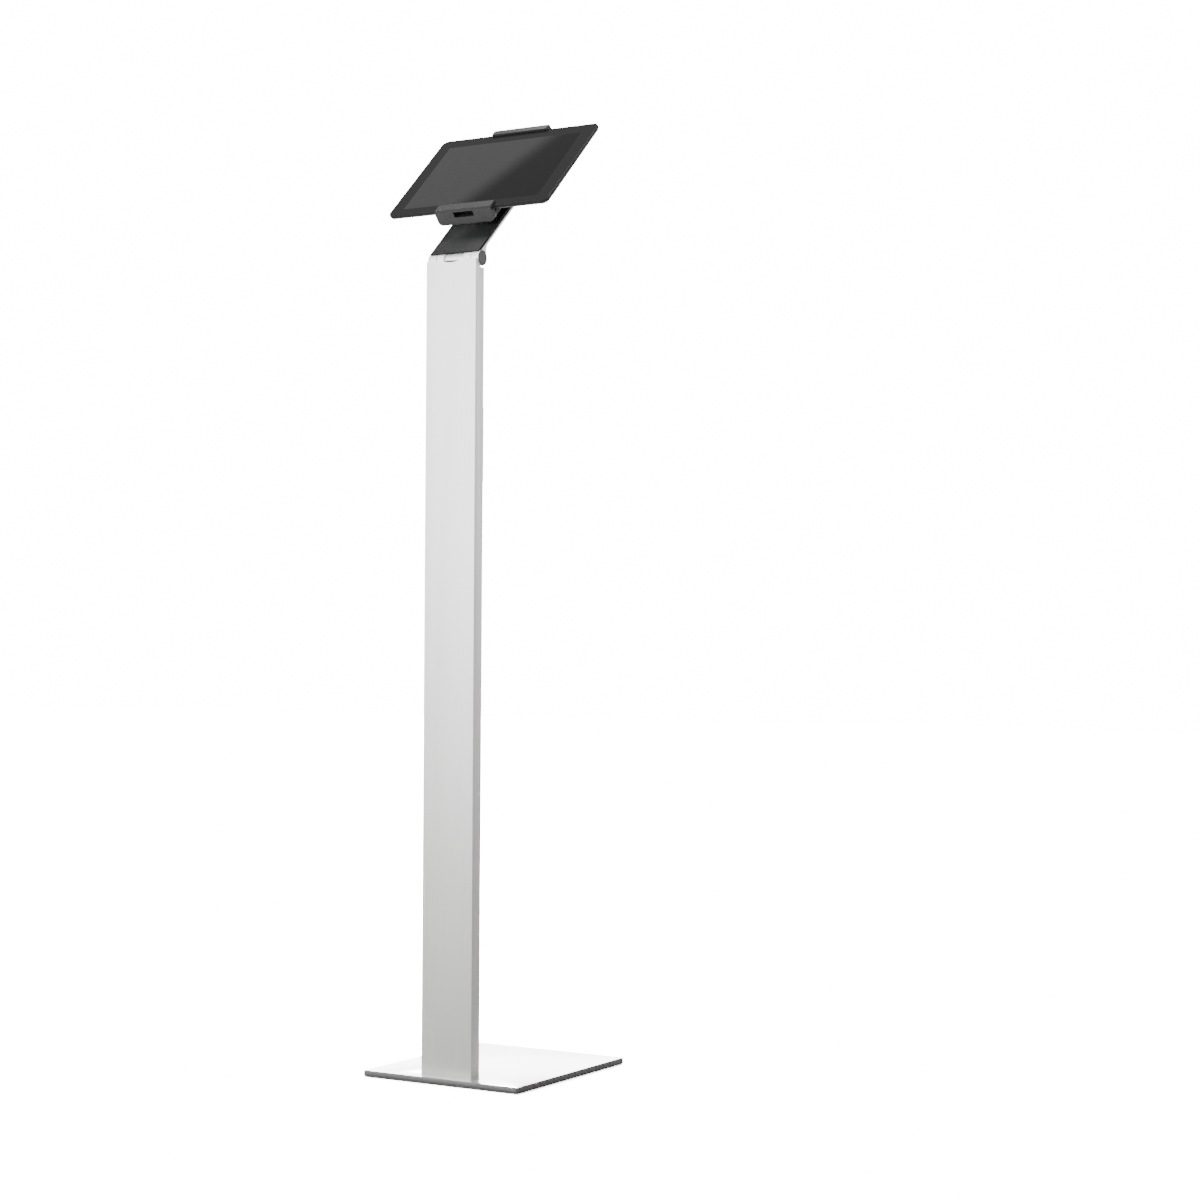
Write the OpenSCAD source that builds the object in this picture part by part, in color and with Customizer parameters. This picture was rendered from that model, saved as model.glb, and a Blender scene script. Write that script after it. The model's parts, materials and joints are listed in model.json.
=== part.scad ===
// Floor stand for a tablet: a steel floor plate, an extruded column with a cable duct,
// a tilting arm, and a swivelling clamp whose two jaws open and close together.
// Millimetres, +Z up, front towards -Y, origin on the floor under the plate's centre.

/* [Base] */
// Width of the floor plate, side to side
base_w = 236; // [210:1:300]
// Depth of the floor plate, front to back
base_d = 278; // [240:1:340]
// Thickness of the floor plate
base_t = 8; // [4:0.5:10]
// Corner radius of the floor plate
base_corner_r = 3; // [1:0.5:10]
// Thickness of the rubber mat under the plate
mat_t = 1; // [0.8:0.1:2]
// Margin from the plate's edge to the mat's edge
mat_margin = 3; // [1:0.5:8]
// Radius of a base screw's shank
foot_screw_r = 3; // [2.5:0.1:3.2]
// Radius of a base screw's countersunk head
foot_head_r = 5.8; // [5.4:0.1:6]
// Height of a base screw's countersunk head
foot_head_h = 2.8; // [2.4:0.1:3.2]
// Length of a base screw's shank inside its block
foot_screw_l = 18; // [12:1:24]
// Distance of the inner base screws from the middle
foot_screw_x0 = 17.2; // [17:0.1:17.5]
// Distance of the outer base screws from the middle
foot_screw_x1 = 30; // [29.5:0.1:30.5]

/* [Column] */
// Width of the column
col_w = 76; // [76:1:84]
// Depth of the column
col_d = 20; // [20:0.5:24]
// Wall of the column
col_wall = 2; // [1.6:0.1:2]
// Distance from the plate's front edge to the column
col_setback = 17; // [10:1:60]
// Width of the cable duct inside the column
duct_w = 18; // [17:0.5:18]
// Thickness of the webs beside the duct
web_t = 2; // [1.4:0.1:2]
// Width of the cable slot in the column's rear wall
slot_w = 5; // [4.6:0.1:6]
// Height of the two steel blocks inside the column's foot
foot_h = 35; // [28:1:60]
// Distance of the locking screw from the middle
set_screw_x = 13.6; // [13.5:0.1:14]
// Height of the locking screw above the floor plate
set_screw_z = 13; // [9:0.5:20]
// Radius of the locking screw's shank
set_screw_r = 1.6; // [1.4:0.1:1.8]
// Length of the locking screw's shank
set_screw_l = 7; // [5:0.5:10]
// Radius of the locking screw's head
set_head_r = 3.2; // [2.6:0.1:3.6]
// Height of the locking screw's head
set_head_h = 1.4; // [1.2:0.1:2.4]

/* [Hinge] */
// Height of the hinge axis above the floor
hinge_h = 1067.5; // [900:0.5:1200]
// Distance from the column's front face to the hinge axis
hinge_back = 15; // [15:0.1:15.5]
// Radius of the hinge barrel
barrel_r = 10; // [9.6:0.1:10.1]
// Free room round the barrel
barrel_gap = 0.4; // [0.3:0.1:0.5]
// Radius of the scoop in the column's top
scoop_r = 12.6; // [12.4:0.1:12.8]
// Drop from the hinge axis to the top of the column's front wall
front_drop = 2; // [1.5:0.1:4]
// Drop from the hinge axis to the top of the column's rear wall
rear_drop = 12.5; // [12:0.1:14]
// Radius of the shallow lead-out in the top of the front wall
lead_r = 34; // [30:1:40]
// Depth of the shallow lead-out
lead_drop = 3; // [1.5:0.1:4]
// Width of the open middle of the hinge, where a cable passes
notch_w = 30; // [26:0.5:30]
// Height above the hinge axis to which the arm's foot is open there
notch_rise = 4.5; // [3:0.1:6]
// Width of each hinge ear
ear_w = 11; // [10:0.5:11]
// Depth of a hinge ear's neck
neck_d = 8.4; // [6:0.2:8.4]
// Height of a hinge ear's tongue inside the column
tongue_h = 37; // [25:1:60]
// Thickness of a friction washer
washer_t = 0.8; // [0.5:0.1:1]
// Radius of a friction washer
washer_r = 9; // [8:0.1:9.4]
// Radius of the hinge axle
axle_r = 4; // [3.6:0.1:4.2]
// Wall of a hinge bush
bush_wall = 1.4; // [1.2:0.1:1.8]
// Thickness of a knuckle's web beside its pocket
knuckle_web = 2.7; // [2.4:0.1:3]
// Radius of the pocket for springs and nut in a knuckle
pocket_r = 8.2; // [8:0.1:8.6]
// Outer radius of a disc spring
disc_r = 7.4; // [6.6:0.1:7.5]
// Thickness of a disc spring's sheet
disc_t = 0.5; // [0.4:0.05:0.6]
// Cone height of a disc spring
disc_cone = 0.5; // [0.3:0.05:0.5]
// Size of an axle nut across its flats
nut_flats = 12; // [11:0.5:13]
// Height of an axle nut
nut_h = 4.5; // [4:0.1:4.6]
// Outer radius of the tube over the axle's middle
tube_r = 8.2; // [7.4:0.1:8.4]
// Thickness of a hinge end cap's disc
cap_t = 1.5; // [1:0.1:2.5]
// Depth of a hinge end cap's spigot
cap_spigot = 0.9; // [0.6:0.1:1]

/* [Arm] */
// Lean of the arm from upright, as it stands
tilt = 48; // [42:1:54]
// Distance from the hinge axis to the arm's rear face
arm_n = 5.5; // [5:0.1:6]
// Thickness of the arm plate
arm_t = 3; // [2.6:0.1:3.4]
// Distance from the swivel axis to the arm's end
arm_over = 37; // [34:1:44]
// Corner radius at the arm's end
arm_corner_r = 3; // [1:0.5:6]
// Radius of the bend between the arm and its upright foot
bend_r = 15; // [6:0.5:16]
// Thickness of the arm's front cover
cover_t = 3.5; // [3.2:0.1:3.8]
// Side margin from the arm plate to its front cover
cover_margin = 0.75; // [0.5:0.05:1.5]
// Distance that the front cover reaches below the hinge axis
cover_low = 0.6; // [0.2:0.1:0.8]
// Width of the cable channel under the front cover
channel_w = 30; // [24:1:30]
// Depth of the cable channel
channel_t = 2.2; // [1.8:0.1:2.2]
// Distance from the hinge axis to the middle of the cable outlet
outlet_u = 108; // [100:1:110]
// Length of the cable outlet
outlet_l = 12; // [8:0.5:14]
// Radius of a cover stud
stud_r = 2; // [1.5:0.1:2.5]
// Length of a cover stud
stud_l = 2; // [1.4:0.1:2.2]
// Distance of the lower cover studs from the hinge axis
stud_u0 = 30; // [26:1:40]
// Distance of the upper cover studs from the hinge axis
stud_u1 = 110; // [90:1:112]
// Distance of the cover studs from the middle
stud_x = 28; // [24:1:32]

/* [Swivel] */
// Distance from the hinge axis to the swivel axis
swivel_u = 154; // [150:1:156]
// Radius of the swivel hub
hub_r = 32; // [30:0.5:34]
// Height of the swivel hub
hub_t = 8; // [7.6:0.1:8.2]
// Radius of the nut pocket in the hub
nut_pocket_r = 9; // [8.6:0.1:9.4]
// Depth of the nut pocket in the hub
nut_pocket_d = 5; // [4.8:0.1:5.2]
// Radius of the opening in the arm behind the nut
arm_hole_r = 10; // [9.6:0.1:10.4]
// Thickness of the friction disc
friction_t = 0.8; // [0.6:0.1:1]
// Margin from the hub's edge to the friction disc's edge
friction_margin = 2; // [1:0.5:4]
// Radius of the circle of hub screws
hub_screw_ring = 15; // [14.8:0.1:16]
// Radius of a hub screw
hub_screw_r = 2; // [1.6:0.1:2]
// Radius of a hub screw's countersunk head
hub_head_r = 3.8; // [3.4:0.1:3.9]
// Height of a hub screw's countersunk head
hub_head_h = 1.9; // [1.6:0.1:2]
// Length of a hub screw's shank
hub_screw_l = 7; // [5:0.5:7.5]
// Radius of the swivel bolt
bolt_r = 3; // [2.6:0.1:3.2]
// Size of the bolt's head across its flats
bolt_flats = 10; // [9:0.5:11]
// Height of the bolt's head
bolt_head_h = 3.6; // [3:0.1:3.8]
// Size of the swivel nut across its flats
swivel_nut_flats = 10; // [9:0.5:11]
// Height of the swivel nut
swivel_nut_h = 4.6; // [4:0.1:4.8]
// Radius of the spring washer
spring_washer_r = 6; // [5.4:0.1:7]
// Thickness of the spring washer
spring_washer_t = 1; // [0.8:0.1:1.2]
// Radius of the swivel cap on the arm's back
swivel_cap_r = 20; // [19.5:0.5:24]
// Height of the swivel cap above the arm's back
swivel_cap_t = 0.6; // [0.4:0.1:0.8]
// Depth of the swivel cap's spigot
swivel_cap_spigot = 1.2; // [0.8:0.1:1.3]
// Radius of the circle of swivel plate screws
plate_screw_ring = 24; // [22:0.5:26]
// Radius of a swivel plate screw
plate_screw_r = 1.5; // [1.3:0.1:1.6]
// Radius of a swivel plate screw's countersunk head
plate_head_r = 2.8; // [2.5:0.1:3]
// Height of a swivel plate screw's countersunk head
plate_head_h = 1.3; // [1.1:0.1:1.4]
// Length of a swivel plate screw's shank
plate_screw_l = 4; // [3:0.5:4.5]

/* [Clamp] */
// Width of the clamp
clamp_w = 86; // [86:1:96]
// Distance from the hinge axis plane to the clamp's rear face
clamp_n = 22.5; // [22.4:0.1:23]
// Depth of the clamp body
clamp_t = 9.5; // [9.5:0.1:10.5]
// Half length of the clamp body
body_half = 65; // [62:1:66]
// Wall of the clamp body
body_wall = 1.6; // [1.6:0.1:1.8]
// Radius of the pillars inside the clamp body
pillar_r = 4; // [3.4:0.1:4.4]
// Distance of the pillars from the middle
pillar_x = 33; // [30:0.5:35]
// Distance of the pillars along the clamp from the swivel axis
pillar_u = 26; // [20:1:28]
// Radius of a clamp cover screw
cover_screw_r = 1.3; // [1.1:0.1:1.4]
// Radius of a clamp cover screw's countersunk head
cover_head_r = 2.4; // [2.1:0.1:2.6]
// Height of a clamp cover screw's countersunk head
cover_head_h = 1.1; // [0.9:0.1:1.2]
// Length of a clamp cover screw's shank
cover_screw_l = 5; // [4:0.5:5.5]
// Length of a clamp pad
pad_l = 70; // [50:1:76]
// Width of a clamp pad
pad_w = 12; // [8:1:16]
// Thickness of a clamp pad
pad_t = 0.4; // [0.3:0.05:0.45]
// Distance of the clamp pads from the swivel axis
pad_u = 50; // [40:1:54]
// Pitch radius of the pinion
pinion_r = 6; // [6:1:6]
// Number of pinion teeth
pinion_teeth = 12; // [12:1:12]
// Height of a tooth above the pitch line
tooth_up = 0.8; // [0.6:0.1:0.9]
// Depth of a tooth below the pitch line
tooth_down = 1.2; // [1.1:0.1:1.3]
// Width of a tooth at the pitch line
tooth_mid = 1.1; // [1:0.05:1.2]
// Width of a tooth at its tip
tooth_tip = 0.5; // [0.4:0.05:0.6]
// Radius of the pinion's pin
pin_r = 2; // [1.8:0.1:2.2]
// Distance from the swivel axis at which the slides become full width
slide_from = 35; // [34:1:38]
// Reach of a slide's rack beyond the swivel axis
rack_reach = 27; // [25:1:29]
// Outer distance of a slide's rack from the middle
rack_x1 = 20; // [16:0.5:22]

/* [Jaws] */
// Thickness of the jaws beyond the tablet's edge
jaw_t = 8.2; // [8:0.1:10]
// Height of the jaws above the clamp's rear face
jaw_h = 21.7; // [21.6:0.1:24]
// Radius of the jaws' rear corners
jaw_corner_r = 6; // [2:0.5:7]
// Bevel along the jaws' front edge
jaw_bevel = 2.5; // [1:0.5:2.5]
// Reach of the lower jaw's lip over the glass
lower_lip = 7.5; // [4:0.5:10]
// Reach of the upper jaw's lip over the glass
upper_lip = 3.5; // [3:0.5:8]
// Depth that the slides reach into the jaws
slide_grip = 5; // [4:0.5:5]
// Thickness of the pads inside the jaws
jaw_pad_t = 0.4; // [0.3:0.05:0.5]
// Length of the pads inside the jaws
jaw_pad_l = 80; // [70:1:82]
// Radius of a jaw screw
jaw_screw_r = 1.2; // [1:0.1:1.3]
// Radius of a jaw screw's countersunk head
jaw_head_r = 2.2; // [1.9:0.1:2.3]
// Height of a jaw screw's countersunk head
jaw_head_h = 1.1; // [0.9:0.1:1.2]
// Length of a jaw screw's shank
jaw_screw_l = 4; // [3:0.5:5]
// Distance of the jaw screws from the middle
jaw_screw_x = 20; // [18:0.5:22]
// Width of the charging slot in the lower jaw
charge_w = 30; // [20:1:30]
// Height of the charging slot
charge_h = 8; // [6:0.5:8]
// Distance from the clamp's rear face to the middle of the charging slot
charge_n = 14.5; // [14:0.1:14.6]

/* [Lock] */
// Radius of the lock barrel
lock_r = 3.2; // [3:0.1:3.3]
// Distance from the clamp's rear face to the lock's axis
lock_n = 15.5; // [15:0.1:15.6]
// Width of the keyhole
key_w = 1; // [0.8:0.1:1.2]
// Height of the keyhole
key_h = 3.6; // [3:0.1:4]
// Depth of the keyhole
key_d = 8; // [5:0.5:10]
// Distance of the lock's crank pin from its axis
crank = 1.4; // [1.4:0.1:1.4]
// Radius of the crank pin
crank_r = 0.6; // [0.5:0.05:0.6]
// Travel of the lock bar
lock_travel = 1.4; // [1.4:0.1:1.4]
// Thickness of the lock bar
lock_bar_t = 3; // [2.6:0.1:3]
// Distance of the lock bar from the middle
lock_bar_x = 25; // [24.8:0.1:25.2]
// Distance from the swivel axis to the lock's tooth
lock_tooth_u = 46.5; // [46:0.5:47]
// Pitch of the lock rack
lock_pitch = 2.5; // [2.5:0.5:2.5]
// Width of a lock tooth
lock_tooth_w = 1; // [0.8:0.1:1.1]
// Height of the lock rack
lock_rack_h = 1.3; // [1:0.1:1.3]

/* [Cable box] */
// Width of the cable box
box_w = 56; // [50:1:64]
// Height of the cable box
box_h = 100; // [90:1:120]
// Depth of the cable box behind the column
box_d = 17; // [16:0.5:22]
// Wall of the cable box's cover
box_wall = 2; // [1.6:0.1:2.4]
// Height of the cable box's middle above the floor
box_z = 827; // [650:1:880]
// Corner radius of the cable box
box_corner_r = 2.5; // [1:0.5:4]
// Height of the cable mouths in the cover's sides
mouth_h = 17; // [12:1:20]
// Depth of the cable mouths in the cover's sides
mouth_d = 8; // [6:0.5:9]
// Height of the side wall left above and below the mouths
mouth_edge = 4; // [3:0.5:8]
// Thickness of the carrier plate
carrier_t = 2; // [1.6:0.1:2.6]
// Outer radius of a winding post
post_r = 7; // [6:0.5:9]
// Wall of a winding post
post_wall = 1.6; // [1.4:0.1:2.5]
// Height of a winding post
post_h = 11; // [6:0.5:12]
// Distance of a winding post from the box's middle
post_z = 27; // [22:1:30]
// Radius of the carrier's screw
box_screw_r = 2; // [1.6:0.1:2.2]
// Radius of the carrier's screw head
box_head_r = 4; // [3.4:0.1:5]
// Height of the carrier's screw head
box_head_h = 2.4; // [1.8:0.1:3]
// Width of the nut inside the slot
slot_nut_w = 13; // [10:0.5:14]
// Height of the nut inside the slot
slot_nut_h = 18; // [12:1:24]
// Thickness of the nut inside the slot
slot_nut_t = 4; // [3:0.5:6]

/* [Tablet] */
// Long side of the tablet
tablet_w = 247; // [230:1:250]
// Short side of the tablet
tablet_h = 187; // [184:0.5:187]
// Thickness of the tablet
tablet_t = 8.5; // [8:0.1:8.6]
// Corner radius of the tablet
tablet_r = 9; // [6:0.5:14]
// Bevel along the tablet's back edges
tablet_bevel = 2.5; // [1.5:0.5:3]
// Thickness of the tablet's back wall
tablet_back_t = 1.2; // [1:0.1:1.4]
// Width of the tablet's rim
tablet_rim = 3; // [2.5:0.1:3.2]
// Thickness of the tablet's front glass
glass_t = 0.8; // [0.6:0.1:1]
// Thickness of the tablet's display
display_t = 1.6; // [1.2:0.1:1.8]
// Margin between the display and the short sides
display_mx = 19; // [12:1:22]
// Margin between the display and the long sides
display_mu = 17; // [10:1:20]
// Thickness of the battery
battery_t = 3.4; // [2.6:0.1:3.6]
// Thickness of the circuit board
board_t = 1; // [0.8:0.1:1.2]
// Radius of the camera's window
camera_r = 3; // [2:0.1:3.5]
// Distance of the camera from the tablet's corner, both ways
camera_in = 14; // [12:0.5:18]
// Width of the tablet's buttons
button_w = 3; // [2.4:0.1:3]
// Length of the power button
power_l = 10; // [8:0.5:14]
// Distance of the power button from the middle
power_x = 100; // [96:1:104]
// Length of the volume button
volume_l = 20; // [16:0.5:24]
// Distance of the volume button from the middle
volume_x = 66; // [62:1:72]
// Travel of a tablet button
button_travel = 0.4; // [0.3:0.05:0.5]
// Height of a tablet button above the tablet's edge
button_proud = 0.5; // [0.5:0.05:0.6]
// Length of a tablet button's stem
button_stem = 1.6; // [1.4:0.1:2]
// Width of the port in the tablet's short side
port_w = 9; // [8:0.5:10]
// Height of the port in the tablet's short side
port_h = 3; // [2.6:0.1:3.2]

/* [Clearances] */
// Clearance of a running shaft in its bush, on the radius
run_fit = 0.05; // [0.02:0.01:0.08]
// Clearance of a fixed pin or insert, on the radius
seat_fit = 0.02; // [0.01:0.01:0.04]
// Clearance of the inserts in the column's chambers
insert_fit = 0.15; // [0.1:0.05:0.2]
// Clearance of sliding plastic parts
slide_fit = 0.2; // [0.15:0.05:0.25]
// Clearance of moving parts that do not touch
free_fit = 0.4; // [0.3:0.05:0.5]
// Gap between faces that turn or slide past each other
face_gap = 0.1; // [0.05:0.05:0.15]

/* [Hidden] */
$fn = 64;
over = 1;
// overlap of the shapes that make one screw, depth of a tooth's root, gap beside a jaw's slot
weld = 0.01;
tooth_root = 0.3;
pad_slot_gap = 0.5;
// room round the tablet's battery, width of its board and the board's distance from the side
inside_room = 28;
board_w = 36;
board_side = 20;

// heights and depths of the stand
plate_top = mat_t + base_t;
col_y = -base_d / 2 + col_setback;
chamber_y = col_y + col_wall;
chamber_d = col_d - 2 * col_wall;
chamber_x0 = duct_w / 2 + web_t;
chamber_x1 = col_w / 2 - col_wall;
hinge_y = col_y + hinge_back;
front_top = hinge_h - front_drop;
rear_top = hinge_h - rear_drop;
tongue_top = hinge_h - scoop_r - 3;
// places along the hinge, from the middle
ear_x0 = notch_w / 2;
ear_x1 = ear_x0 + ear_w;
knuckle_x0 = ear_x1 + washer_t + face_gap;
knuckle_x1 = col_w / 2;
pocket_x0 = knuckle_x0 + knuckle_web;
spring_x0 = pocket_x0 + face_gap;
spring_h = disc_t + disc_cone;
nut_x0 = spring_x0 + 2 * spring_h + seat_fit;
clear_r = barrel_r + barrel_gap;
// heights above the hinge axis plane, towards the glass
cover_n0 = arm_n + arm_t;
hub_n1 = cover_n0 + hub_t;
plate_n0 = hub_n1 + friction_t + face_gap;
body_n1 = clamp_n + clamp_t;
inner_n0 = clamp_n + body_wall;
inner_n1 = body_n1 - body_wall;
slide_n0 = inner_n0 + slide_fit;
slide_n1 = inner_n1 - slide_fit;
nut_seat_n = cover_n0 + nut_pocket_d;
tablet_n0 = body_n1 + pad_t + face_gap;
glass_n = tablet_n0 + tablet_t;
jaw_n1 = clamp_n + jaw_h;
lip_n0 = glass_n + slide_fit + face_gap;
lock_axis_n = clamp_n + lock_n;
// places along the arm, from the hinge axis
arm_l = swivel_u + arm_over;
jaw_in = tablet_h / 2 + face_gap + jaw_pad_t;
slide_x = clamp_w / 2 - body_wall - slide_fit;
jaw_out = jaw_in + jaw_t;
lock_y = jaw_in + jaw_t / 2;
lock_steps = 7;
// small lengths inside the lock: roof over its slot, height of the bar's arm, room round the crank
bar_roof = 0.8;
bar_arm_h = 1.6;
crank_room = 0.2;
crank_grip = 0.5;
bar_n0 = inner_n0 + lock_rack_h + slide_fit;
bar_n1 = bar_n0 + lock_travel;
bar_end = lock_axis_n + crank_r + 2 * free_fit + over;
jaw_wall = 1;

// a box with rounded upright edges
module slab(w, d, h, r) {
    translate([-w / 2 + r, -d / 2, 0]) cube([w - 2 * r, d, h]);
    translate([-w / 2, -d / 2 + r, 0]) cube([w, d - 2 * r, h]);
    for (sx = [-1, 1], sy = [-1, 1])
        translate([sx * (w / 2 - r), sy * (d / 2 - r), 0]) cylinder(h = h, r = r);
}

// a screw with a countersunk head on top, its head's face at z = 0
module sunk_screw(head_r, head_h, shank_r, shank_l, gap = 0) {
    rotate([180, 0, 0]) {
        cylinder(h = head_h, r1 = head_r + gap, r2 = shank_r + gap);
        translate([0, 0, head_h - weld]) cylinder(h = shank_l + weld + gap, r = shank_r + gap);
    }
}

// a hexagon by its size across flats
module hexagon(flats, h) {
    rotate([0, 0, 30]) cylinder(h = h, r = flats / 2 / cos(30), $fn = 6);
}

// the frame of the arm: x across, y along the arm, z towards the glass
module head() {
    translate([0, hinge_y, hinge_h]) rotate([90 - tilt, 0, 0]) children();
}

// the same frame moved to the swivel axis
module swivel() {
    head() translate([0, swivel_u, 0]) children();
}

// children drawn along +x from a place on the hinge axis, on both sides
module hinge_pair(x) {
    for (s = [0, 1])
        translate([0, hinge_y, hinge_h]) mirror([s, 0, 0]) translate([x, 0, 0])
            rotate([0, 90, 0]) children();
}

module base_plate() {
    color([0.92, 0.92, 0.93])
    difference() {
        translate([0, 0, mat_t]) slab(base_w, base_d, base_t, base_corner_r);
        foot_screws(seat_fit);
    }
}

module base_mat() {
    color([0.12, 0.12, 0.12])
    difference() {
        slab(base_w - 2 * mat_margin, base_d - 2 * mat_margin, mat_t, base_corner_r);
        for (x = [foot_screw_x0, foot_screw_x1], s = [-1, 1])
            translate([s * x, col_y + col_d / 2, -over])
                cylinder(h = mat_t + 2 * over, r = foot_head_r + free_fit);
    }
}

module foot_screws(gap) {
    for (x = [foot_screw_x0, foot_screw_x1], s = [-1, 1])
        translate([s * x, col_y + col_d / 2, mat_t]) rotate([180, 0, 0])
            sunk_screw(foot_head_r, foot_head_h, foot_screw_r,
                base_t - foot_head_h + foot_screw_l, gap);
}

module base_screws() {
    color([0.6, 0.6, 0.62]) foot_screws(0);
}

module foot_blocks() {
    color([0.5, 0.5, 0.52])
    difference() {
        for (s = [-1, 1])
            translate([s * (chamber_x0 + chamber_x1) / 2, col_y + col_d / 2, plate_top])
                translate([-(chamber_x1 - chamber_x0) / 2 + insert_fit,
                        -chamber_d / 2 + insert_fit, 0])
                    cube([chamber_x1 - chamber_x0 - 2 * insert_fit,
                        chamber_d - 2 * insert_fit, foot_h]);
        foot_screws(seat_fit);
        lock_screw_shank(seat_fit);
    }
}

module lock_screw_shank(gap) {
    translate([-set_screw_x, col_y + col_d, plate_top + set_screw_z]) rotate([90, 0, 0])
        cylinder(h = set_screw_l + gap, r = set_screw_r + gap);
}

module column() {
    color([0.86, 0.87, 0.88])
    difference() {
        translate([-col_w / 2, col_y, plate_top]) cube([col_w, col_d, front_top - plate_top]);
        translate([-duct_w / 2, chamber_y, 0]) cube([duct_w, chamber_d, hinge_h]);
        for (s = [0, 1])
            mirror([s, 0, 0]) translate([chamber_x0, chamber_y, 0])
                cube([chamber_x1 - chamber_x0, chamber_d, hinge_h]);
        translate([-slot_w / 2, chamber_y + chamber_d - over, 0])
            cube([slot_w, col_wall + 2 * over, hinge_h]);
        translate([-col_w, hinge_y, hinge_h]) rotate([0, 90, 0])
            cylinder(h = 2 * col_w, r = scoop_r);
        translate([-col_w, hinge_y, rear_top]) cube([2 * col_w, col_d, 2 * rear_drop]);
        translate([0, chamber_y + over, front_top - lead_drop + lead_r]) rotate([90, 0, 0])
            cylinder(h = col_wall + 2 * over, r = lead_r);
        translate([0, over, 0]) lock_screw_shank(seat_fit);
    }
}

module column_lock_screw() {
    color([0.55, 0.55, 0.57]) {
        lock_screw_shank(0);
        translate([-set_screw_x, col_y + col_d + set_head_h, plate_top + set_screw_z])
            rotate([90, 0, 0]) cylinder(h = set_head_h, r = set_head_r);
    }
}

module hinge_ears() {
    color([0.8, 0.81, 0.82])
    for (s = [0, 1])
        mirror([s, 0, 0])
            difference() {
                union() {
                    translate([chamber_x0 + 2 * insert_fit, chamber_y + insert_fit,
                            tongue_top - tongue_h])
                        cube([chamber_x1 - chamber_x0 - 4 * insert_fit,
                            chamber_d - 2 * insert_fit, tongue_h]);
                    translate([ear_x0, chamber_y + chamber_d - insert_fit - neck_d,
                            tongue_top - over])
                        cube([ear_w, neck_d, hinge_h - tongue_top + over]);
                    translate([ear_x0, hinge_y, hinge_h]) rotate([0, 90, 0])
                        cylinder(h = ear_w, r = barrel_r);
                }
                translate([0, hinge_y, hinge_h]) rotate([0, 90, 0])
                    cylinder(h = col_w, r = axle_r + seat_fit);
            }
}

module hinge_axle() {
    color([0.7, 0.7, 0.72])
    translate([-(nut_x0 + nut_h), hinge_y, hinge_h]) rotate([0, 90, 0])
        cylinder(h = 2 * (nut_x0 + nut_h), r = axle_r);
}

module axle_tube() {
    color([0.8, 0.81, 0.82])
    translate([-(ear_x0 - face_gap), hinge_y, hinge_h]) rotate([0, 90, 0])
        difference() {
            cylinder(h = 2 * (ear_x0 - face_gap), r = tube_r);
            translate([0, 0, -over]) cylinder(h = notch_w + over, r = axle_r + seat_fit);
        }
}

module ring(r, bore, h) {
    difference() {
        cylinder(h = h, r = r);
        translate([0, 0, -over]) cylinder(h = h + 2 * over, r = bore);
    }
}

module friction_washers() {
    color([0.75, 0.68, 0.4]) hinge_pair(ear_x1) ring(washer_r, axle_r + seat_fit, washer_t);
}

// a cone-shaped spring washer, wide end at z = 0
module disc_spring() {
    rotate_extrude()
        polygon([[disc_r - disc_t / 2, 0], [disc_r, 0], [disc_r, disc_t / 2],
            [axle_r + seat_fit + disc_t / 2, spring_h], [axle_r + seat_fit, spring_h],
            [axle_r + seat_fit, disc_cone + disc_t / 2]]);
}

module disc_springs() {
    color([0.65, 0.65, 0.66]) {
        hinge_pair(spring_x0) disc_spring();
        hinge_pair(spring_x0 + 2 * spring_h + seat_fit) mirror([0, 0, 1]) disc_spring();
    }
}

module axle_nuts() {
    color([0.7, 0.7, 0.7])
    hinge_pair(nut_x0)
        difference() {
            hexagon(nut_flats, nut_h);
            translate([0, 0, -over]) cylinder(h = nut_h + 2 * over, r = axle_r + seat_fit);
        }
}

module hinge_bushes() {
    color([0.72, 0.55, 0.3])
    hinge_pair(knuckle_x0) ring(axle_r + run_fit + bush_wall, axle_r + run_fit, knuckle_web);
}

module hinge_end_caps() {
    color([0.35, 0.35, 0.36]) {
        hinge_pair(knuckle_x1) cylinder(h = cap_t, r = barrel_r);
        hinge_pair(knuckle_x1 - cap_spigot)
            ring(pocket_r - seat_fit, pocket_r - cap_t, cap_spigot + cap_t / 2);
    }
}

// side view of the arm's foot: x along the arm, y towards the glass
// the foot's rear face lies a hair inside the barrel, so that the two cross cleanly
skim = 0.05;
foot_r = barrel_r - skim;
foot_len = (arm_n + foot_r * cos(tilt)) / sin(tilt);
valley_u = foot_r * sin(tilt) + foot_len * cos(tilt);
bend_len = bend_r * tan(tilt / 2);

module arm_side() {
    difference() {
        union() {
            circle(r = barrel_r);
            polygon([[0, 0], [foot_r * sin(tilt), -foot_r * cos(tilt)],
                [valley_u - bend_len * cos(tilt), arm_n - bend_len * sin(tilt)],
                [valley_u + bend_len, arm_n - bend_r], [valley_u + bend_len, arm_n],
                [arm_l, arm_n], [arm_l, cover_n0], [0, cover_n0]]);
        }
        translate([valley_u + bend_len, arm_n - bend_r]) circle(r = bend_r + skim);
    }
}

// what is cut off a corner at the arm's end
module arm_corner() {
    r = arm_corner_r;
    translate([col_w / 2 - r, arm_l - r, 0])
        difference() {
            cube([r + over, r + over, clamp_n]);
            translate([0, 0, -over]) cylinder(h = clamp_n + 2 * over, r = r);
        }
}

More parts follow.
